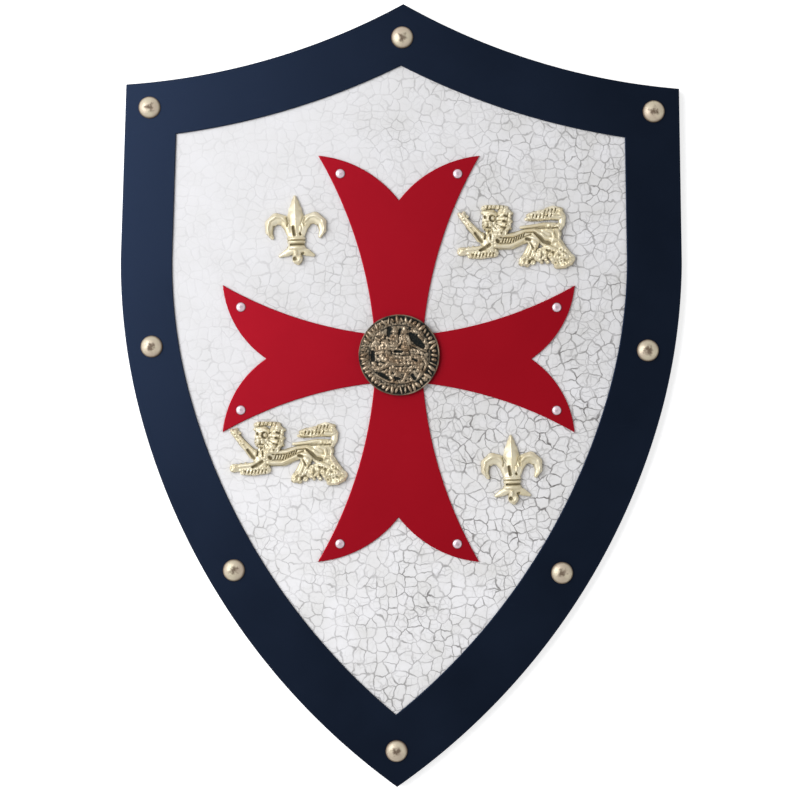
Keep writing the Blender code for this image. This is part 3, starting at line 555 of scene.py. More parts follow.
crossOutline = crossLoop(crossX, (crossLow.y + crossHigh.y) / 2)
crossSide = roundedSide(crossOutline, crossLow.z, crossHigh.z, edge, lowEdge)
addPiece("crossPlate", plateMesh("crossPlate", crossSide, False), ["cross_plate"], "redPaint")
print("cross made")


# one dome, a little dented, copied to every point of the mesh that it gets, each turned its own way, with a
# painted reflection in its middle and painted shade round its foot
def makeDomedHeads():
    tree, given, result = newGroup(
        "domedHeads",
        {"Points": ("NodeSocketGeometry", None), "Radius": (number, 0.009), "Rim": (number, 0.0007),
         "Dome": (number, 0.0048), "Flatness": (number, 2.0), "Dents": (number, 0.0002),
         "Dent Scale": (number, 3.0), "Tilt": (number, 0.03), "Seed": (wholeNumber, 3), "Painted Reflection": (number, 0.7),
         "Painted Reflection Size": (number, 0.3), "Finish": ("NodeSocketMaterial", None)},
        {"Heads": "NodeSocketGeometry"}, "GeometryNodeTree")
    ball = addNode(tree, "GeometryNodeMeshUVSphere", {"Segments": 48, "Rings": 28, "Radius": 1.0})
    place = addNode(tree, "GeometryNodeInputPosition").outputs[0]
    x, y, z = addNode(tree, "ShaderNodeSeparateXYZ", {0: place}).outputs
    upper = calc(tree, "GREATER_THAN", z, -0.01)
    dents = noiseAt(tree, place, 1.0, 1.0).outputs["Fac"]
    tree.links.new(given["Dent Scale"], dents.node.inputs["Scale"])
    dents = calc(tree, "MULTIPLY", calc(tree, "SUBTRACT", dents, 0.6), given["Dents"])
    level = calc(tree, "MAXIMUM", z, 0.0)
    dents = calc(tree, "MULTIPLY", dents, calc(tree, "MULTIPLY", level, level))
    flatter = calc(tree, "POWER", level, given["Flatness"])
    domeHeight = calc(tree, "MULTIPLY", flatter, given["Dome"])
    height = calc(tree, "ADD", calc(tree, "ADD", domeHeight, given["Rim"]), dents)
    height = calc(tree, "MULTIPLY", height, upper)
    shaped = addNode(tree, "ShaderNodeCombineXYZ", {0: calc(tree, "MULTIPLY", x, given["Radius"]),
                                                    1: calc(tree, "MULTIPLY", y, given["Radius"]), 2: height})
    head = addNode(tree, "GeometryNodeSetPosition",
                   {"Geometry": ball.outputs["Mesh"], "Position": shaped.outputs[0]})
    across = calc(tree, "SQRT", calc(tree, "ADD", calc(tree, "MULTIPLY", x, x), calc(tree, "MULTIPLY", y, y)))
    across = calc(tree, "DIVIDE", across, given["Radius"])
    marked = addNode(tree, "GeometryNodeStoreNamedAttribute",
                     {"Geometry": head.outputs[0], "Name": "across", "Value": across}, data_type="FLOAT")
    smooth = addNode(tree, "GeometryNodeSetShadeSmooth", {"Geometry": marked.outputs[0]})
    tilt = addNode(tree, "ShaderNodeCombineXYZ", {0: given["Tilt"], 1: given["Tilt"], 2: math.pi})
    lowest = addNode(tree, "ShaderNodeVectorMath", {0: tilt.outputs[0]}, operation="SCALE")
    lowest.inputs["Scale"].default_value = -1.0
    turn = addNode(tree, "FunctionNodeRandomValue",
                   {0: lowest.outputs[0], 1: tilt.outputs[0], "Seed": given["Seed"]},
                   data_type="FLOAT_VECTOR")
    turn = addNode(tree, "FunctionNodeEulerToRotation", {0: turn.outputs[0]}).outputs[0]
    copies = addNode(tree, "GeometryNodeInstanceOnPoints",
                     {"Points": given["Points"], "Instance": smooth.outputs[0], "Rotation": turn})
    real = addNode(tree, "GeometryNodeRealizeInstances", {0: copies.outputs[0]})
    across = addNode(tree, "GeometryNodeInputNamedAttribute", {"Name": "across"}, data_type="FLOAT")
    across = across.outputs[0]
    # painted reflection: a ragged dark spot in the middle of each head, standing in for the dark above
    # mirrored in the dome
    raggedReflection = noiseAt(tree, addNode(tree, "GeometryNodeInputPosition").outputs[0], 420.0, 2.0).outputs["Fac"]
    raggedReflection = calc(tree, "MULTIPLY", calc(tree, "SUBTRACT", raggedReflection, 0.5), 1.1)
    paintedReflection = calc(tree, "DIVIDE", calc(tree, "ADD", across, raggedReflection), given["Painted Reflection Size"])
    paintedReflection = calc(tree, "MULTIPLY", rescale(tree, paintedReflection, 0.3, 1.3, 1.0, 0.0, smooth=True), given["Painted Reflection"])
    # painted shade round the foot of each head, kept together with the painted reflection
    shadeReflectionTarnishMask = calc(tree, "MAXIMUM", paintedReflection, rescale(tree, across, 0.80, 1.02, smooth=True))
    stained = addNode(tree, "GeometryNodeStoreNamedAttribute",
                      {"Geometry": real.outputs[0], "Name": "shadeReflectionTarnishMask", "Value": shadeReflectionTarnishMask}, data_type="FLOAT")
    finished = addNode(tree, "GeometryNodeSetMaterial",
                       {"Geometry": stained.outputs[0], "Material": given["Finish"]})
    tree.links.new(finished.outputs[0], result["Heads"])
    return tree


# runs a tree on some points and keeps the result as a plain mesh
def bakeTree(name, tree, points, values, sharpAngle):
    start = bpy.data.meshes.new(name + "Points")
    start.from_pydata(points, [], [])
    helper = bpy.data.objects.new(name + "Helper", start)
    bpy.context.scene.collection.objects.link(helper)
    modifier = helper.modifiers.new("nodes", "NODES")
    modifier.node_group = tree
    for item in tree.interface.items_tree:
        if item.item_type == "SOCKET" and item.in_out == "INPUT" and item.name in values:
            modifier[item.identifier] = values[item.name]
    view = bpy.context.evaluated_depsgraph_get()
    mesh = bpy.data.meshes.new_from_object(helper.evaluated_get(view), preserve_all_data_layers=True,
                                           depsgraph=view)
    helper.modifiers.remove(modifier)
    bpy.data.objects.remove(helper)
    bpy.data.meshes.remove(start)
    mesh.name = name
    mesh.set_sharp_from_angle(angle=math.radians(sharpAngle))
    return mesh


domedHeads = makeDomedHeads()
studs = {
    "nodes": ["stud_top", "stud_bottom", "stud_shoulder_left", "stud_shoulder_right", "stud_middle_left",
              "stud_middle_right", "stud_low_left", "stud_low_right"],
    "rim": 0.0006,
    "flatness": 1.25,
    "dents": 0.0007,
    "dentScale": 1.6,
    "tilt": 0.035,
    "seed": 11,
    # strength and size of the dark painted reflection in the middle of each head
    "paintedReflection": 0.9,
    "paintedReflectionSize": 0.40,
}
nails = {
    "nodes": ["nail_" + arm + "_" + level + "_" + side for arm in ("upright", "arm")
              for level in ("upper", "lower") for side in ("left", "right")],
    "rim": 0.0004,
    "flatness": 1.1,
    "dents": 0.0002,
    "dentScale": 1.4,
    "tilt": 0.03,
    "seed": 5,
    # strength and size of the dark painted reflection in the middle of each head
    "paintedReflection": 0.6,
    "paintedReflectionSize": 0.42,
}


headFit = {
    "seatLift": 0.0001,  # over the plate that a head sits on
    "topRoom": 0.0004,  # left under the solid's top for tilt and dents
    "radiusShare": 0.985,  # of the solid's radius
}


def addHeads(name, kind, seatNode, finish):
    points = []
    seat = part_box(seatNode)[1].z + headFit["seatLift"]
    for node in kind["nodes"]:
        low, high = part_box(node)
        points.append(((low.x + high.x) / 2, (low.y + high.y) / 2, seat))
    top = high.z - seat - headFit["topRoom"]
    radius = (high.x - low.x) / 2 * headFit["radiusShare"]
    values = {"Radius": radius, "Rim": kind["rim"], "Dome": top - kind["rim"],
              "Flatness": kind["flatness"], "Dents": kind["dents"], "Dent Scale": kind["dentScale"],
              "Tilt": kind["tilt"], "Seed": kind["seed"], "Painted Reflection": kind["paintedReflection"], "Painted Reflection Size": kind["paintedReflectionSize"],
              "Finish": finishes[finish]}
    addPiece(name, bakeTree(name, domedHeads, points, values, 50), kind["nodes"])


addHeads("studHeads", studs, "border_plate", "paleBrass")
addHeads("nailHeads", nails, "cross_plate", "brightNickel")
print("studs and nails made")


# distance from each leg of a chain of (x, y, half width), and the half width beside it
def chainLegs(x, y, path):
    for (x0, y0, half0), (x1, y1, half1) in zip(path, path[1:]):
        length = max((x1 - x0) ** 2 + (y1 - y0) ** 2, 1e-9)
        share = np.clip(((x - x0) * (x1 - x0) + (y - y0) * (y1 - y0)) / length, 0, 1)
        distance = np.hypot(x - x0 - share * (x1 - x0), y - y0 - share * (y1 - y0))
        yield distance, half0 + share * (half1 - half0)


# strokes are (lift, crown, chain) on the figure's own grid; a ridge stands on the others
def strokeField(x, y, strokes):
    inside = np.full(x.shape, -1e3)
    total = np.zeros(x.shape)
    ridges = np.zeros(x.shape)
    for lift, crown, path in strokes:
        best = np.zeros(x.shape)
        for distance, half in chainLegs(x, y, path):
            inside = np.maximum(inside, half - distance)
            nearness = np.clip(1 - distance / half, 0, 1)
            if crown == "ridge":
                ridges = np.maximum(ridges, lift * (1 - (1 - nearness) ** 2))
            elif crown == "flat":
                best = np.maximum(best, (lift + 2.6) * np.clip(3 * nearness, 0, 1))
            elif crown == "roof":
                best = np.maximum(best, (lift + 0.62 * half) * nearness)
            else:
                best = np.maximum(best, (lift + 0.62 * half) * np.sqrt(1 - (1 - nearness) ** 2))
        total += best ** 5
    return inside, total ** 0.2 + ridges


# cuts are (depth, chain); a cut's round flanks reach a little past its half width
def cutField(x, y, cuts):
    depth = np.zeros(x.shape)
    for sink, path in cuts:
        for distance, half in chainLegs(x, y, path):
            depth = np.maximum(depth, sink * np.clip(1 - (distance / (half * 1.35)) ** 2, 0, 1))
    return depth


# a row of round beads along a chain
def beadsAlong(path, count, size, lift):
    points = np.array(path, float)
    lengths = np.r_[0, np.cumsum(np.hypot(*np.diff(points[:, :2], axis=0).T))]
    beads = []
    for bead in range(count):
        reach = lengths[-1] * (bead + 0.5) / count
        x = float(np.interp(reach, lengths, points[:, 0]))
        y = float(np.interp(reach, lengths, points[:, 1]))
        beads.append((lift, "ridge", [(x, y, size), (x + 0.01, y, size)]))
    return beads


# short cuts across a chain, evenly spaced
def ticksAcross(path, count, reach, half, sink):
    points = np.array(path, float)
    lengths = np.r_[0, np.cumsum(np.hypot(*np.diff(points, axis=0).T))]
    ticks = []
    for tick in range(count):
        along = lengths[-1] * (tick + 0.5) / count
        x = float(np.interp(along, lengths, points[:, 0]))
        y = float(np.interp(along, lengths, points[:, 1]))
        ticks.append((sink, [(x - 0.3 * reach, y - reach, half), (x + 0.3 * reach, y + reach, half)]))
    return ticks


# small round curls, each with a pit in its middle, laid over the areas that some chains cover
def curlField(x, y, curls):
    size = curls["size"]
    jitter = np.random.default_rng(curls["seed"]).random((2, 64, 64))
    column = np.floor(x / size).astype(int)
    row = np.floor(y / size).astype(int)
    near = np.full(x.shape, 9.0 * size)
    for stepX in (-1, 0, 1):
        for stepY in (-1, 0, 1):
            i = column + stepX
            j = row + stepY
            middleX = (i + 0.15 + 0.7 * jitter[0, i % 64, j % 64]) * size
            middleY = (j + 0.15 + 0.7 * jitter[1, i % 64, j % 64]) * size
            near = np.minimum(near, np.hypot(x - middleX, y - middleY))
    curl = np.clip(1 - (near / (0.62 * size)) ** 2, 0, 1)
    curl = curl - curls["pit"] * np.clip(1 - near / (0.3 * size), 0, 1)
    cover = strokeField(x, y, [(1.0, "roof", path) for path in curls["areas"]])[0]
    return curls["lift"] * curl * np.clip(cover / 1.2, 0, 1)


# a Gaussian blur, cells wide
def blurred(field, cells):
    reach = max(1, int(3 * cells))
    weights = np.exp(-0.5 * (np.arange(-reach, reach + 1) / cells) ** 2)
    weights /= weights.sum()
    for axis in (0, 1):
        padding = [(0, 0), (0, 0)]
        padding[axis] = (reach, reach)
        wide = np.pad(field, padding, mode="edge")
        size = field.shape[axis]
        field = sum(weight * np.take(wide, range(step, step + size), axis=axis)
                    for step, weight in enumerate(weights))
    return field


# a closed casting over a fine square grid in a box, with the darkening of its hollows and cuts kept as an
# attribute: tarnish there and painted shade
def castMesh(name, figure, reliefAt, low, high):
    cell = figure["cell"]
    plate = figure["plate"]
    place = ((low.x + high.x) / 2, (low.y + high.y) / 2, low.z)
    size = (high.x - low.x, high.y - low.y)
    columns = math.ceil(size[0] / cell) + 2
    rows = math.ceil(size[1] / cell) + 2
    x, y = np.meshgrid((np.arange(columns + 1) - columns / 2) * cell, (np.arange(rows + 1) - rows / 2) * cell,
                       indexing="ij")
    inside, height, sunk = reliefAt(x, y, size[figure["spanAlong"]] / figure["span"])
    height = height * (high.z - low.z - plate) / height[inside > 0].max()
    # tarnish and painted shade: a point is darker the further it lies below its blurred surroundings, and
    # darker in the cuts
    mean = blurred(np.where(inside > 0, height, 0), figure["hollowReach"] / cell)
    dark = np.clip(np.maximum((mean - height) / figure["hollowDepth"], sunk), 0, 1)
    shape = bmesh.new()
    layer = shape.verts.layers.float.new("shadeReflectionTarnishMask")
    corners = {}
    crossings = {}

    def addVertex(px, py, pz, value):
        vertex = shape.verts.new((place[0] + px, place[1] + py, place[2] + pz))
        vertex[layer] = value
        return vertex

    def corner(key):
        if key not in corners:
            corners[key] = addVertex(x[key], y[key], plate + height[key], dark[key])
        return corners[key]

    def crossing(a, b):
        key = (min(a, b), max(a, b))
        if key not in crossings:
            one, two = key
            share = min(0.95, max(0.05, inside[one] / (inside[one] - inside[two])))
            level = plate + (1 - share) * height[one] + share * height[two]
            crossings[key] = addVertex(x[one] + share * (x[two] - x[one]), y[one] + share * (y[two] - y[one]),
                                       level, max(dark[one], dark[two]))
        return crossings[key]

    for i in range(columns):
        for j in range(rows):
            if inside[i:i + 2, j:j + 2].max() <= 0:
                continue
            around = [(i, j), (i + 1, j), (i + 1, j + 1), (i, j + 1)]
            outline = []
            for here, after in zip(around, around[1:] + around[:1]):
                if inside[here] > 0:
                    outline.append(corner(here))
                if (inside[here] > 0) != (inside[after] > 0):
                    outline.append(crossing(here, after))
            if len(outline) >= 3:
                shape.faces.new(outline)
    rim = [edge for edge in shape.edges if len(edge.link_faces) == 1]
    walls = bmesh.ops.extrude_edge_only(shape, edges=rim)["geom"]
    for vertex in [item for item in walls if isinstance(item, bmesh.types.BMVert)]:
        vertex.co.z = place[2]
    foot = [edge for edge in shape.edges if len(edge.link_faces) == 1]
    bmesh.ops.triangle_fill(shape, use_beauty=True, edges=foot, normal=(0, 0, -1))
    return closedMesh(name, shape, 60)


# each figure is drawn on a grid of its own that spans its box along x (0) or y (1)
lionFigure = {
    "span": 122,
    "spanAlong": 0,
    "height": 65,
    "cell": 0.00036,
    "plate": 0.0015,
    "hollowReach": 0.0011,
    "hollowDepth": 0.0007,
    "body": [
        (0.0, "flat", [(42, 29, 8.6), (56, 29, 8.2), (66, 33, 7.2), (78, 35.5, 6.6), (92, 36, 9.0)]),
        (2.2, "ridge", [(40, 35, 2.2), (50, 35.0, 2.1), (60, 35.6, 2.1), (70, 39.4, 2.2), (79, 40.6, 2.3),
                        (85, 36.9, 2.2), (91, 32.4, 2.1), (102, 30.5, 2.0)]),
        (2.2, "ridge", [(41, 23.8, 2.3), (54, 23.8, 2.2), (64, 28.8, 2.2), (74, 33.2, 2.1), (82, 31.4, 2.1),
                        (90, 25.2, 2.2), (98, 22, 2.2), (112, 14, 2.4)]),
        (1.8, "ridge", [(66, 43.0, 1.6), (78, 44.4, 1.8), (90, 46.4, 2.0), (103, 46, 2.2)]),
    ],
    "haunch": [
        (0.6, "flat", [(92, 37, 8.0), (99, 37, 8.2)]),
        (2.2, "ridge", [(92, 40.6, 1.6), (97.6, 38.4, 1.9), (98.8, 33, 1.9), (96.6, 28, 1.8)]),
        (1.8, "ridge", [(102, 42, 1.6), (105, 36, 1.7), (104, 29, 1.7), (109, 22, 1.7)]),
    ],
    "tail": [
        (0.6, "round", [(102, 41, 4.4), (107, 47, 3.4), (107.5, 54, 3.6), (104, 60, 3.4)]),
        (1.0, "ridge", [(106, 61, 2.6), (98, 63, 2.4), (91, 61, 2.0)]),
        (1.4, "ridge", [(105, 57, 2.6), (96, 58.6, 2.4), (87, 56.6, 2.2), (79, 57.4, 2.2), (73, 55, 2.0)]),
        (1.2, "ridge", [(103, 53, 2.6), (94, 53.4, 2.6), (84, 52.2, 2.6), (76, 51.4, 2.2), (71, 51.4, 1.6)]),
        (0.0, "round", [(104, 56, 5.0), (88, 56, 5.4), (76, 54, 4.2)]),
    ],
    "hindLegs": [
        (0.8, "round", [(80, 32, 6.4), (78, 24, 5.4), (73, 15, 4.8), (69, 9, 5.0)]),
        (1.8, "ridge", [(73, 31, 1.8), (76, 23, 1.8), (73, 15, 1.8), (68, 12, 2.0)]),
        (1.6, "ridge", [(81, 26, 1.8), (79, 19, 1.8), (77, 12, 2.0)]),
        (1.2, "ridge", [(66.5, 7, 2.8), (67, 6.5, 2.8)]),
        (1.2, "ridge", [(72, 5.5, 2.6), (72.5, 5.5, 2.6)]),
        (1.2, "ridge", [(78, 8, 2.8), (78.5, 8.5, 2.8)]),
        (0.0, "round", [(84, 15, 6.4), (94, 20, 6.0), (101, 15, 7.4), (107, 13, 6.0)]),
        (1.8, "ridge", [(85, 18, 1.9), (84, 12, 2.0), (87, 8, 1.8)]),
        (1.8, "ridge", [(91, 18, 1.9), (90.5, 12, 2.0), (93, 8, 1.8)]),
        (1.6, "ridge", [(97, 18, 1.9), (97, 12, 2.0), (99, 8, 1.8)]),
        (0.8, "round", [(100, 30, 6.8), (107, 21.5, 5.4), (113, 14.5, 5.0)]),
        (0.8, "round", [(116, 12, 5.0), (110, 6, 4.2), (103, 5, 3.6)]),
        (2.2, "ridge", [(108, 13.5, 2.4), (112, 12.5, 2.4)]),
        (1.4, "ridge", [(102, 4.5, 2.4), (110, 4.5, 2.4), (117, 8, 2.4)]),
    ],
    "forelegs": [
        (0.8, "round", [(34, 21, 6.0), (24, 19.5, 4.4), (12, 18.6, 3.8), (6, 18, 4.4)]),
        (1.8, "ridge", [(31, 23, 2.0), (22, 21.6, 2.0), (12, 20.6, 1.9)]),
        (2.0, "round", [(6, 18, 3.0), (6.2, 18, 3.0)]),
        (0.2, "round", [(39, 17, 4.6), (27, 14.6, 3.6), (15, 14, 2.8)]),
        (0.8, "round", [(32, 27, 6.0), (25, 33, 4.4), (18, 40, 4.0), (12, 46.5, 3.4), (8, 51, 3.0),
                        (6, 54, 3.4)]),
        (1.8, "ridge", [(28, 33, 1.6), (21, 40, 1.7), (14, 47, 1.8), (8, 54, 1.9)]),
        (1.6, "ridge", [(23, 29.5, 1.6), (17.5, 37, 1.6), (12, 43, 1.6)]),
        (1.4, "ridge", [(3.6, 56, 2.0), (4, 55, 2.0)]),
        (1.4, "ridge", [(8, 57, 2.0), (8.2, 56, 2.0)]),
        (1.4, "ridge", [(11, 53.5, 1.8), (11.2, 53, 1.8)]),
    ],
    "mane": [
        (0.2, "round", [(49, 56, 7.2), (48.6, 46, 7.4), (43, 36, 8.4), (36, 28, 7.6)]),
        (1.6, "ridge", [(45, 60, 2.4), (51, 59.5, 2.4), (56, 57, 2.0)]),
        (1.6, "ridge", [(44, 54.5, 2.2), (50, 57, 1.8)]),
        (1.8, "ridge", [(45, 51, 2.2), (51, 51.5, 2.2), (56, 49, 1.8)]),
        (1.6, "ridge", [(44, 46, 2.2), (50, 45, 2.2), (55, 42, 1.8)]),
        (1.8, "ridge", [(42, 41, 2.2), (47, 40, 2.2), (51, 37, 1.8)]),
        (1.4, "ridge", [(37, 37, 2.0), (38.5, 32, 2.0)]),
        (1.6, "ridge", [(32, 37, 2.0), (32.5, 31, 2.0)]),
        (1.4, "ridge", [(27.5, 36, 1.8), (26.5, 31, 1.8)]),
    ],
    "head": [
        (0.6, "flat", [(35, 53, 8.0), (33, 45, 6.6)]),
        (1.6, "round", [(34.6, 52, 5.6), (33, 46, 4.8)]),
        (1.6, "ridge", [(28, 62, 2.6), (35, 64, 2.6), (43, 63.5, 2.6), (51, 62.5, 2.2)]),
        (1.6, "ridge", [(27, 57.5, 1.8), (31, 58.6, 2.0), (36, 57.6, 2.2), (41, 55, 1.9), (42, 50, 1.6)]),
        (2.4, "ridge", [(33, 53, 1.6), (32.2, 49.4, 2.0)]),
        (2.2, "ridge", [(30.2, 47.4, 2.1), (34.2, 47.4, 2.1)]),
        (2.4, "ridge", [(30.0, 44.6, 2.2), (30.2, 44.6, 2.2)]),
        (2.4, "ridge", [(34.8, 44.4, 2.2), (35.0, 44.4, 2.2)]),
        (1.8, "ridge", [(32.2, 40.8, 1.8), (33, 40.8, 1.8)]),
        (1.6, "ridge", [(28.6, 56.4, 1.9), (28.8, 56.6, 1.9)]),
        (1.6, "ridge", [(40.6, 56.4, 1.9), (40.8, 56.6, 1.9)]),
        (1.8, "ridge", [(37.2, 51.8, 2.1), (37.4, 51.8, 2.1)]),
        (1.4, "ridge", [(39.6, 47.2, 1.9), (39.4, 43.4, 1.9), (36.6, 40.2, 1.7)]),
    ],
    "beads": [([(14, 13.2), (26, 12.2), (41, 15.5)], 8, 1.9, 2.0), ([(6, 21), (20, 23.6)], 3, 1.2, 1.4)],
    # cuts round the face, none of them above it: x, y, inner and outer radius, count, half width, depth
    "rays": (34.0, 49.8, 8.0, 11.2, 15, 0.55, 1.8),
    "raySkip": 0.6,
    "rayStretch": 1.15,  # along y
    "ticks": [  # path, count, reach to each side, half width, depth
        ([(46.5, 29.6), (58, 30.0), (70, 36.0)], 9, 2.3, 0.62, 2.6),
        ([(88, 58.6), (102, 60.6)], 4, 2.2, 0.6, 2.2),
        ([(76, 54), (98, 55.6)], 6, 1.8, 0.6, 2.0),
        ([(16, 13.6), (40, 15.6)], 7, 1.7, 0.6, 1.8),
        ([(30, 63.2), (50, 62.6)], 5, 1.8, 0.6, 2.0),
        ([(46, 36), (52, 47), (52, 57)], 6, 1.8, 0.6, 1.8),
    ],
    "curls": {"size": 5.4, "lift": 2.2, "pit": 1.1, "seed": 21, "areas": [
        [(52, 58, 4.8), (52, 46, 5.0), (47, 37, 4.8), (36, 30, 5.4)],
        [(28, 62.5, 3.4), (42, 62.5, 3.6), (54, 60, 3.0)],
        [(106, 58, 5.0), (90, 56, 6.8), (76, 53.4, 5.6)],
        [(84, 13, 6.4), (94, 15, 7.4), (103, 12, 8.0), (113, 9, 7.0)],
        [(67, 8.4, 5.6), (77, 9.6, 5.4)],
        [(42, 18, 4.4), (27, 14.4, 4.6), (12, 14, 3.4)],
        [(4, 18, 4.6), (7, 18, 4.0)],
        [(5, 55, 4.0), (11, 53, 3.6)],
        [(92, 44, 3.0), (104, 43, 3.4)],
        [(80, 23, 3.0), (86, 19, 3.4)],
        [(26.5, 55, 2.6), (27, 48, 2.6), (29, 42, 2.6)],
        [(104, 25, 4.0), (110, 19, 4.6)],
        [(14, 45, 3.4), (8, 52, 3.6)],
    ]},
    "cuts": [
        (4.0, [(19.5, 36.6, 1.2), (26, 28.4, 1.7)]),
        (3.8, [(25, 19.4, 1.3), (29, 21.5, 1.8), (34.5, 25, 1.6)]),
        (4.2, [(42, 29.4, 1.7), (43, 28.6, 1.7)]),
        (1.6, [(45, 32.2, 0.6), (58, 32.6, 0.6), (69, 37.6, 0.6), (79, 38.4, 0.7)]),
        (1.6, [(45, 26.8, 0.6), (57, 27.0, 0.6), (70, 33.6, 0.6), (76, 36.0, 0.7)]),
        (4.4, [(80, 37.2, 1.1), (85, 32.8, 1.7), (89, 28.6, 1.5), (95, 27.4, 1.3)]),
        (4.0, [(71.5, 31.4, 1.5), (74.5, 30.6, 1.5)]),
        (2.4, [(75, 28, 0.9), (79, 21, 0.9)]),
        (2.6, [(92, 20, 1.1), (99, 17.6, 1.1)]),
        (2.8, [(84, 42.6, 1.1), (92, 42.8, 1.1), (103, 42.6, 0.9)]),
        (3.0, [(74.5, 9, 1.2), (75, 8.6, 1.2)]),
        (3.0, [(89.5, 49.6, 1.1), (90.5, 49, 1.1)]),
        (3.0, [(100, 49.8, 1.2), (102, 49, 1.2)]),
        (2.2, [(74, 50.4, 0.9), (82, 50, 0.9)]),
        (3.6, [(29.4, 53.2, 1.2), (29.7, 52.6, 1.2)]),
        (3.0, [(36.6, 54.6, 0.8), (34.8, 53.6, 1.1), (34.2, 51.6, 1.2), (35.2, 49.5, 1.1),
               (37.4, 48.9, 0.9)]),
        (1.3, [(37.4, 48.9, 0.8), (39.6, 50.3, 0.7), (39.9, 52.6, 0.7), (38.6, 54.4, 0.7),
               (36.6, 54.6, 0.8)]),
        (2.2, [(29.6, 42.5, 0.7), (35.4, 42.3, 0.7)]),
        (2.0, [(31.4, 48.4, 0.8), (33.0, 48.4, 0.8)]),
        (1.6, [(32.4, 46.6, 0.5), (32.5, 43.4, 0.5)]),
        (3.0, [(49, 54.6, 1.1), (51.5, 54, 1.1)]),
        (3.0, [(48, 49.2, 1.0), (51, 48.2, 1.2)]),
        (2.4, [(46, 43.4, 0.8), (50, 42.4, 0.9)]),
        (2.4, [(35, 35.4, 0.9), (35.2, 31, 0.8)]),
        (2.4, [(29.8, 34.6, 0.8), (29.4, 31, 0.8)]),
    ],
}


def lionRelief(x, y, unit):
    gridX = x / unit + lionFigure["span"] / 2
    gridY = y / unit + lionFigure["height"] / 2
    strokes = []
    for part in ("body", "haunch", "tail", "hindLegs", "forelegs", "mane", "head"):
        strokes += lionFigure[part]
    for path, count, size, lift in lionFigure["beads"]:
        strokes += beadsAlong(path, count, size, lift)
    inside, height = strokeField(gridX, gridY, strokes)
    height = height + curlField(gridX, gridY, lionFigure["curls"])
    cuts = list(lionFigure["cuts"])
    rayX, rayY, innerRadius, outerRadius, count, half, sink = lionFigure["rays"]
    for ray in range(count):
        alongX = math.cos(2 * math.pi * ray / count)
        alongY = math.sin(2 * math.pi * ray / count)
        if alongY > lionFigure["raySkip"]:
            continue
        cuts.append((sink, [(rayX + radius * alongX, rayY + lionFigure["rayStretch"] * radius * alongY, half)
                            for radius in (innerRadius, outerRadius)]))
    for ticks in lionFigure["ticks"]:
        cuts += ticksAcross(*ticks)
    depth = cutField(gridX, gridY, cuts)
    # the last value darkens the cuts: tarnish and painted shade
    return inside * unit, np.maximum(height - depth, 0.05) * unit, np.clip(depth / 2.4 - 0.3, 0, 1)


fleurFigure = {
    "span": 72,
    "spanAlong": 1,
    "cell": 0.00032,
    "plate": 0.0015,
    "hollowReach": 0.0012,
    "hollowDepth": 0.0011,
    "lean": math.radians(2.5),
    "middle": [
        (1.4, "roof", [(0, 34, 1.6), (0, 28, 4.0), (0, 20, 6.8), (0, 13, 8.6), (0, 6, 6.4), (0, -4, 4.4)]),
        (2.4, "ridge", [(4.8, 3, 1.4), (4.6, -1, 1.4)]),
        (0.6, "round", [(0, 14, 7.0), (0, 2, 6.0), (0, -6, 6.2)]),
        (1.4, "ridge", [(-8, -9, 1.7), (8, -9, 1.7)]),
        (1.8, "ridge", [(-7.6, -12.4, 1.7), (7.8, -12.4, 1.7)]),
        (1.8, "ridge", [(-7.4, -18.2, 2.2), (7.6, -18.2, 2.2)]),
        (0.2, "round", [(0, -9, 8.4), (0, -18, 8.4)]),
        (1.4, "round", [(0, -22, 4.4), (0.6, -30, 5.4), (1.2, -34, 2.2)]),
        (3.0, "ridge", [(-1.2, -23, 2.4), (-1.4, -26, 2.6)]),
        (2.4, "ridge", [(4, -29, 2.4), (2, -32, 2.2)]),
    ],
    "sides": [
        (1.0, "round", [(5, -7, 3.6), (8, 3, 4.6), (13, 10.5, 5.4), (20, 12, 6.0), (26.5, 7, 5.2),
                        (27.6, -1, 3.8), (24.6, -7.4, 1.8)]),
        (2.0, "ridge", [(9, 8, 1.6), (14, 13.2, 2.0), (20, 14.4, 2.2), (27, 10, 2.2), (29.2, 2, 1.8),
                        (27.4, -5, 1.2)]),
        (1.0, "round", [(5, -21, 4.4), (11, -23.6, 3.6), (17, -26.4, 1.7)]),
    ],
    "cuts": [
        (4.2, [(-2.8, 3, 1.2), (-2.2, -1, 1.5), (-1.6, -5, 1.5)]),
        (3.4, [(4.2, -4, 1.1), (4.6, -5, 1.1)]),
        (3.4, [(-5.6, -15.2, 1.0), (7.8, -15.2, 1.0)]),
        (1.6, [(-8, -10.8, 0.6), (8, -10.8, 0.6)]),
        (5.0, [(-2.0, -29.4, 1.7), (-1.8, -29.8, 1.7)]),
        (3.2, [(5.6, -24.6, 1.1), (6.8, -24.2, 1.1)]),
        (2.6, [(9, -30, 0.9), (7, -32, 0.9)]),
        (2.2, [(22.4, 4, 0.9), (23.2, -2, 0.9)]),
        (2.2, [(-22.4, 4, 1.1), (-23.2, -3, 1.1)]),
        (2.0, [(9.4, 12.6, 0.9), (8.2, 7.4, 1.1), (8.8, 4, 0.8)]),
        (2.0, [(-9.4, 12.6, 0.9), (-8.2, 7.4, 1.1), (-8.8, 4, 0.8)]),
    ],
}


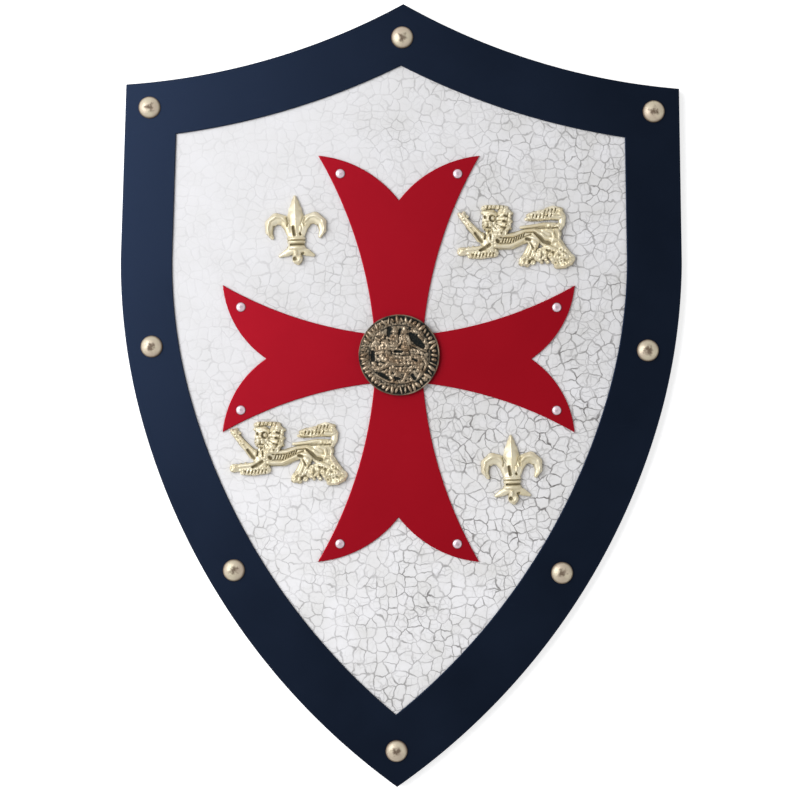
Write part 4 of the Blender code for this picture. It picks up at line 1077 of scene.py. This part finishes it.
def fleurRelief(x, y, unit):
    cosine = math.cos(fleurFigure["lean"])
    sine = math.sin(fleurFigure["lean"])
    gridX = (x * cosine + y * sine) / unit
    gridY = (y * cosine - x * sine) / unit
    strokes = list(fleurFigure["middle"])
    for lift, crown, path in fleurFigure["sides"]:
        for side in (-1, 1):
            strokes.append((lift, crown, [(side * px, py, half) for px, py, half in path]))
    inside, height = strokeField(gridX, gridY, strokes)
    depth = cutField(gridX, gridY, fleurFigure["cuts"])
    # the last value darkens the cuts: tarnish and painted shade
    return inside * unit, np.maximum(height - depth, 0.05) * unit, np.clip(depth / 2.4 - 0.3, 0, 1)


medallionFigure = {
    "span": 80,
    "spanAlong": 0,
    "cell": 0.00034,
    "plate": 0.0026,
    "hollowReach": 0.0009,
    "hollowDepth": 0.00034,
    "rimWidth": 0.9,
    "bandInside": 30.4,
    "floor": 1.0,
    "riders": [
        (2.0, "round", [(-4.2, 27, 1.6), (-4.2, 23.4, 3.4)]),
        (2.0, "round", [(5, 27, 1.6), (5, 23.4, 3.4)]),
        (1.2, "round", [(-4.6, 17.5, 4.2), (-6, 8, 5.0)]),
        (1.2, "round", [(5.4, 17, 4.0), (6.4, 8, 4.8)]),
        (2.2, "round", [(0.4, 17, 1.5), (1.4, 12, 1.5), (-2, 8.4, 1.4)]),
        (2.2, "round", [(9.4, 17, 1.5), (10.6, 12, 1.5), (8, 8.4, 1.4)]),
        (2.0, "round", [(-13.6, 10, 5.4), (-12.6, 2, 4.4), (-12, -5, 1.8)]),
        (2.8, "round", [(-13.4, 13, 1.0), (-12.4, -4, 0.8)]),
        (2.8, "round", [(-17.4, 6.6, 0.9), (-9, 6.6, 0.9)]),
    ],
    "horse": [
        (1.4, "round", [(-9, -5, 5.8), (5, -6.2, 5.2), (17, -5.4, 6.2), (20.4, -9, 4.4)]),
        (1.4, "round", [(-14, -3, 4.8), (-20, 6, 3.8), (-22.6, 12, 3.2), (-27, 8.4, 2.2)]),
        (2.4, "round", [(-17.4, 4, 1.2), (-19.4, 11, 1.2), (-21, 15, 1.3)]),
        (1.4, "round", [(-12, -10, 2.8), (-19.4, -14.6, 1.9), (-23.4, -11, 1.6)]),
        (1.4, "round", [(-7, -11, 2.6), (-9.4, -18.6, 1.8), (-6.4, -25, 1.6)]),
        (1.4, "round", [(13, -11, 3.0), (8, -18, 1.9), (4, -25.6, 1.7)]),
        (1.4, "round", [(18.6, -12, 3.0), (22, -17, 1.9), (19, -24, 1.7)]),
        (1.6, "round", [(23, -2, 1.8), (27, -8, 1.6), (25.4, -15.6, 1.4)]),
        (2.6, "round", [(11, 10.4, 1.0), (18, 7.4, 1.0), (26.6, 3.8, 1.0)]),
        (2.8, "round", [(12.4, 0.8, 1.1), (19, -3, 1.2)]),
        (2.0, "round", [(-29, 20, 0.9), (-18.6, 14.6, 0.9)]),
        (1.6, "round", [(-24, -19.6, 1.0), (-10, -26.6, 1.0), (6, -27.4, 1.0), (16, -24.6, 0.9)]),
    ],
    "beads": [([(-2, -8.4), (6, -9), (15, -9.4)], 5, 1.3, 1.6), ([(-1, 3), (10, 2.6)], 5, 1.4, 1.6),
              ([(-8, 14), (-7, 5)], 4, 1.2, 1.6), ([(7, 14), (7.6, 5)], 4, 1.2, 1.6)],
    "dot": (26.0, -23.3, 2.7, 4.2),  # x, y, radius, height
    "fieldCurls": {"size": 3.6, "lift": 1.0, "pit": 0.5, "seed": 9, "areas": [
        [(0, 0, 29.6), (0.1, 0, 29.6)]]},
    "curls": {"size": 3.5, "lift": 2.0, "pit": 0.5, "seed": 4, "areas": [
        [(-20, 18, 6.0), (-24, 8, 4.4)], [(-4, 18, 9.0), (4, 12, 10.0)], [(-16, 2, 9.4), (18, -3, 9.0)],
        [(-24, -10, 5.0), (-16, -13, 5.0), (-6, -16, 6.0)], [(6, -14, 6.0), (16, -13, 6.4), (24, -10, 5.0)],
        [(-4, -25, 4.6), (10, -24, 4.4)], [(14, 24, 3.4), (22, 18, 3.6), (27, 8, 3.0)]]},
    "bandCurls": {"size": 2.5, "lift": 0.95, "pit": 0.2, "seed": 12, "areas": [
        [(-4, 1.5, 35), (-3.9, 1.5, 35)]]},
    "recesses": [
        (4.4, [(11.4, 20.6, 1.8), (13.8, 17.4, 2.9), (18.6, 13.2, 3.1), (23.2, 8.8, 2.0)]),
        (2.6, [(-26, 2.4, 1.6), (-25.6, -5, 1.8)]),
        (2.2, [(-4, 3.6, 1.3), (2, 3.2, 1.3)]),
        (2.6, [(13.6, -4.0, 1.0), (17.6, -5.6, 1.2)]),
        (2.2, [(-19, -19.2, 1.5), (-12, -23, 1.6)]),
        (2.2, [(-4, -22.6, 1.4), (0.8, -23.6, 1.4)]),
        (2.2, [(13, -20, 1.6), (15.4, -23.6, 1.4)]),
        (2.4, [(-9.6, 26, 1.8), (-10.4, 20, 1.8)]),
        (2.2, [(0.4, 25, 0.9), (0.6, 21, 0.9)]),
    ],
}


def medallionRelief(x, y, unit):
    gridX = x / unit
    gridY = y / unit
    radius = medallionFigure["span"] / 2
    distance = np.hypot(gridX, gridY)
    strokes = medallionFigure["riders"] + medallionFigure["horse"]
    for path, count, size, lift in medallionFigure["beads"]:
        strokes = strokes + beadsAlong(path, count, size, lift)
    height = curlField(gridX, gridY, medallionFigure["fieldCurls"])
    height = height + strokeField(gridX, gridY, strokes)[1] * 0.95
    height = height + curlField(gridX, gridY, medallionFigure["curls"])
    angle = np.arctan2(gridY, gridX)
    wave = 0.5 + 0.5 * np.sin(9 * angle) * np.sin(4 * angle + 1)
    bandInside = medallionFigure["bandInside"]
    band = curlField(gridX, gridY, medallionFigure["bandCurls"])
    height = np.where(distance < bandInside - 0.6, height, band)
    depth = cutField(gridX, gridY, medallionFigure["recesses"])
    rimWidth = medallionFigure["rimWidth"]
    rimMiddle = radius - rimWidth / 2
    rim = np.sqrt(np.clip(1 - ((distance - rimMiddle) / rimWidth) ** 2, 0, 1)) * (1.0 + 0.7 * wave)
    ring = 0.5 * np.clip(1 - np.abs(distance - bandInside) / 0.8, 0, 1)
    height = np.maximum(np.maximum(height, rim), ring)
    height = np.maximum(height + medallionFigure["floor"] - depth * 0.8, 0.05)
    dotX, dotY, dotRadius, dotHeight = medallionFigure["dot"]
    dot = np.sqrt(np.clip(1 - ((gridX - dotX) ** 2 + (gridY - dotY) ** 2) / dotRadius ** 2, 0, 1))
    height = np.maximum(height, dotHeight * dot)
    # tarnish and painted shade: the low field and the recesses are darker, and the rim's outer edge is
    # darker, unevenly
    dark = np.clip(1.1 - height + medallionFigure["floor"], 0, 1)
    dark = np.maximum(dark, np.clip(depth / 1.6, 0, 1))
    dark = np.maximum(dark, (0.9 - 0.6 * wave) * (distance > radius - 1.6))
    return (radius - distance) * unit, height * unit, dark


castings = {
    "lionUpper": (lionFigure, lionRelief, "lion_upper", "charge_gold", "paleGold"),
    "lionLower": (lionFigure, lionRelief, "lion_lower", "charge_gold", "paleGold"),
    "fleurUpper": (fleurFigure, fleurRelief, "fleur_de_lis_upper", "charge_gold", "paleGold"),
    "fleurLower": (fleurFigure, fleurRelief, "fleur_de_lis_lower", "charge_gold", "paleGold"),
    "medallionDisc": (medallionFigure, medallionRelief, "medallion", "medallion_bronze", "antiqueBronze"),
}
for name, (figure, reliefAt, node, slotName, finish) in castings.items():
    low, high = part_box(node)
    addPiece(name, castMesh(name, figure, reliefAt, low, high), [node], finish)
print("castings made")


# a ring of small raised strokes that aren't letters, each a little different
def makeRimStrokes():
    tree, given, result = newGroup(
        "rimStrokes",
        {"Points": ("NodeSocketGeometry", None), "Count": (wholeNumber, 50), "Ring Radius": (number, 0.027),
         "Length": (number, 0.005), "Width": (number, 0.0012), "Height": (number, 0.0012),
         "Spread": (number, 0.3), "Tilt": (number, 0.4), "Centre": ("NodeSocketVector", (0, 0, 0)),
         "Seed": (wholeNumber, 2), "Finish": ("NodeSocketMaterial", None)},
        {"Strokes": "NodeSocketGeometry"}, "GeometryNodeTree")
    ring = addNode(tree, "GeometryNodeMeshCircle",
                   {"Vertices": given["Count"], "Radius": given["Ring Radius"]})
    bar = addNode(tree, "GeometryNodeMeshUVSphere", {"Segments": 10, "Rings": 8, "Radius": 0.5})
    smooth = addNode(tree, "GeometryNodeSetShadeSmooth", {"Geometry": bar.outputs["Mesh"]})
    place = addNode(tree, "GeometryNodeInputPosition").outputs[0]
    x, y = addNode(tree, "ShaderNodeSeparateXYZ", {0: place}).outputs[:2]

    def randomNumber(low, high, step):
        seed = calc(tree, "ADD", given["Seed"], step)
        inputs = {2: low, 3: high, "Seed": seed}
        return addNode(tree, "FunctionNodeRandomValue", inputs, data_type="FLOAT").outputs[1]

    shortest = calc(tree, "SUBTRACT", 1.0, given["Spread"])
    back = calc(tree, "MULTIPLY", given["Tilt"], -1.0)
    turn = calc(tree, "ADD", calc(tree, "ARCTAN2", y, x), randomNumber(back, given["Tilt"], 1.0))
    turn = addNode(tree, "ShaderNodeCombineXYZ", {2: turn})
    turn = addNode(tree, "FunctionNodeEulerToRotation", {0: turn.outputs[0]}).outputs[0]
    size = addNode(tree, "ShaderNodeCombineXYZ",
                   {0: calc(tree, "MULTIPLY", given["Length"], randomNumber(shortest, 1.0, 2.0)),
                    1: calc(tree, "MULTIPLY", given["Width"], randomNumber(shortest, 1.2, 3.0)),
                    2: given["Height"]})
    copies = addNode(tree, "GeometryNodeInstanceOnPoints",
                     {"Points": ring.outputs[0], "Instance": smooth.outputs[0], "Rotation": turn,
                      "Scale": size.outputs[0]})
    moved = addNode(tree, "GeometryNodeTransform",
                    {"Geometry": copies.outputs[0], "Translation": given["Centre"]})
    real = addNode(tree, "GeometryNodeRealizeInstances", {0: moved.outputs[0]})
    finished = addNode(tree, "GeometryNodeSetMaterial",
                       {"Geometry": real.outputs[0], "Material": given["Finish"]})
    tree.links.new(finished.outputs[0], result["Strokes"])
    return tree


rimStrokes = {
    "Count": 50,
    "Ring Radius": 0.0274,
    "Length": 0.0078,
    "Width": 0.0029,
    "Height": 0.0028,
    "Spread": 0.5,
    "Tilt": 0.5,
    "Seed": 7,
}
strokeRaise = 0.0006  # middle of a stroke over the medallion's plate
medalLow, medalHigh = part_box("medallion")
strokeLevel = medalLow.z + medallionFigure["plate"] + strokeRaise
strokeValues = {**rimStrokes, "Finish": finishes["antiqueBronze"],
                "Centre": ((medalLow.x + medalHigh.x) / 2, (medalLow.y + medalHigh.y) / 2, strokeLevel)}
strokeMesh = bakeTree("medallionStrokes", makeRimStrokes(), [(0, 0, 0)], strokeValues, 60)
addPiece("medallionStrokes", strokeMesh, ["medallion"])
print("rim strokes made")


stageSettings = {
    "floorSize": 40.0,
    "floorColour": (0.88, 0.88, 0.88),
    "floorGlow": 0.60,
    "keyPlace": (-1.05, 0.35, 1.35),
    "keySize": (1.4, 1.4),
    "keyPower": 29.0,
    "keyColour": (0.97, 0.98, 1.0),
    "fillPlace": (1.3, -0.5, 1.2),
    "fillSize": (0.8, 0.8),
    "fillPower": 2.0,
    "fillColour": (1.0, 1.0, 1.0),
    "skyLow": 0.465,
    "skyTop": 0.07,
    "lens": 100.0,
    "sensorWidth": 36.0,
    "frameWidth": 0.623,
    "aim": (-0.00016, -0.0035),
    "roll": math.radians(0.45),
}


def addFloor():
    half = stageSettings["floorSize"] / 2
    mesh = bpy.data.meshes.new("floor")
    corners = [(-half, -half, 0), (half, -half, 0), (half, half, 0), (-half, half, 0)]
    mesh.from_pydata(corners, [], [(0, 1, 2, 3)])
    floor = bpy.data.objects.new("floor", mesh)
    bpy.context.scene.collection.objects.link(floor)
    material, tree, shader = newMaterial("paleFloor", **{
        "Base Color": (*stageSettings["floorColour"], 1), "Roughness": 0.9, "Specular IOR Level": 0.0,
        "Emission Color": (1, 1, 1, 1), "Emission Strength": stageSettings["floorGlow"]})
    mesh.materials.append(material)


def addLight(name, place, size, power, colour):
    lamp = bpy.data.lights.new(name, "AREA")
    lamp.shape = "RECTANGLE"
    lamp.size, lamp.size_y = size
    lamp.energy = power
    lamp.color = colour
    light = bpy.data.objects.new(name, lamp)
    bpy.context.scene.collection.objects.link(light)
    light.location = place
    light.rotation_euler = (-light.location).to_track_quat("-Z", "Y").to_euler()


def addSky():
    world = bpy.data.worlds.new("studio")
    bpy.context.scene.world = world
    world.use_nodes = True
    tree = world.node_tree
    way = addNode(tree, "ShaderNodeTexCoord").outputs["Generated"]
    up = addNode(tree, "ShaderNodeSeparateXYZ", {"Vector": way}).outputs[2]
    level = rescale(tree, up, 0.80, 0.97, stageSettings["skyLow"], stageSettings["skyTop"], smooth=True)
    background = tree.nodes["Background"]
    tree.links.new(level, background.inputs["Strength"])
    background.inputs["Color"].default_value = (1, 1, 1, 1)


def addCamera():
    camera = bpy.data.objects.new("camera", bpy.data.cameras.new("camera"))
    bpy.context.scene.collection.objects.link(camera)
    camera.data.lens = stageSettings["lens"]
    camera.data.sensor_width = stageSettings["sensorWidth"]
    x, y = stageSettings["aim"]
    distance = stageSettings["frameWidth"] * stageSettings["lens"] / stageSettings["sensorWidth"]
    camera.location = (x, y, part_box("border_plate")[1].z + distance)
    camera.rotation_euler = (0, 0, stageSettings["roll"])
    bpy.context.scene.camera = camera


addFloor()
addLight("keyLight", stageSettings["keyPlace"], stageSettings["keySize"], stageSettings["keyPower"],
         stageSettings["keyColour"])
addLight("fillLight", stageSettings["fillPlace"], stageSettings["fillSize"], stageSettings["fillPower"],
         stageSettings["fillColour"])
addSky()
addCamera()
bpy.context.scene.view_settings.view_transform = "Standard"
print("stage ready")
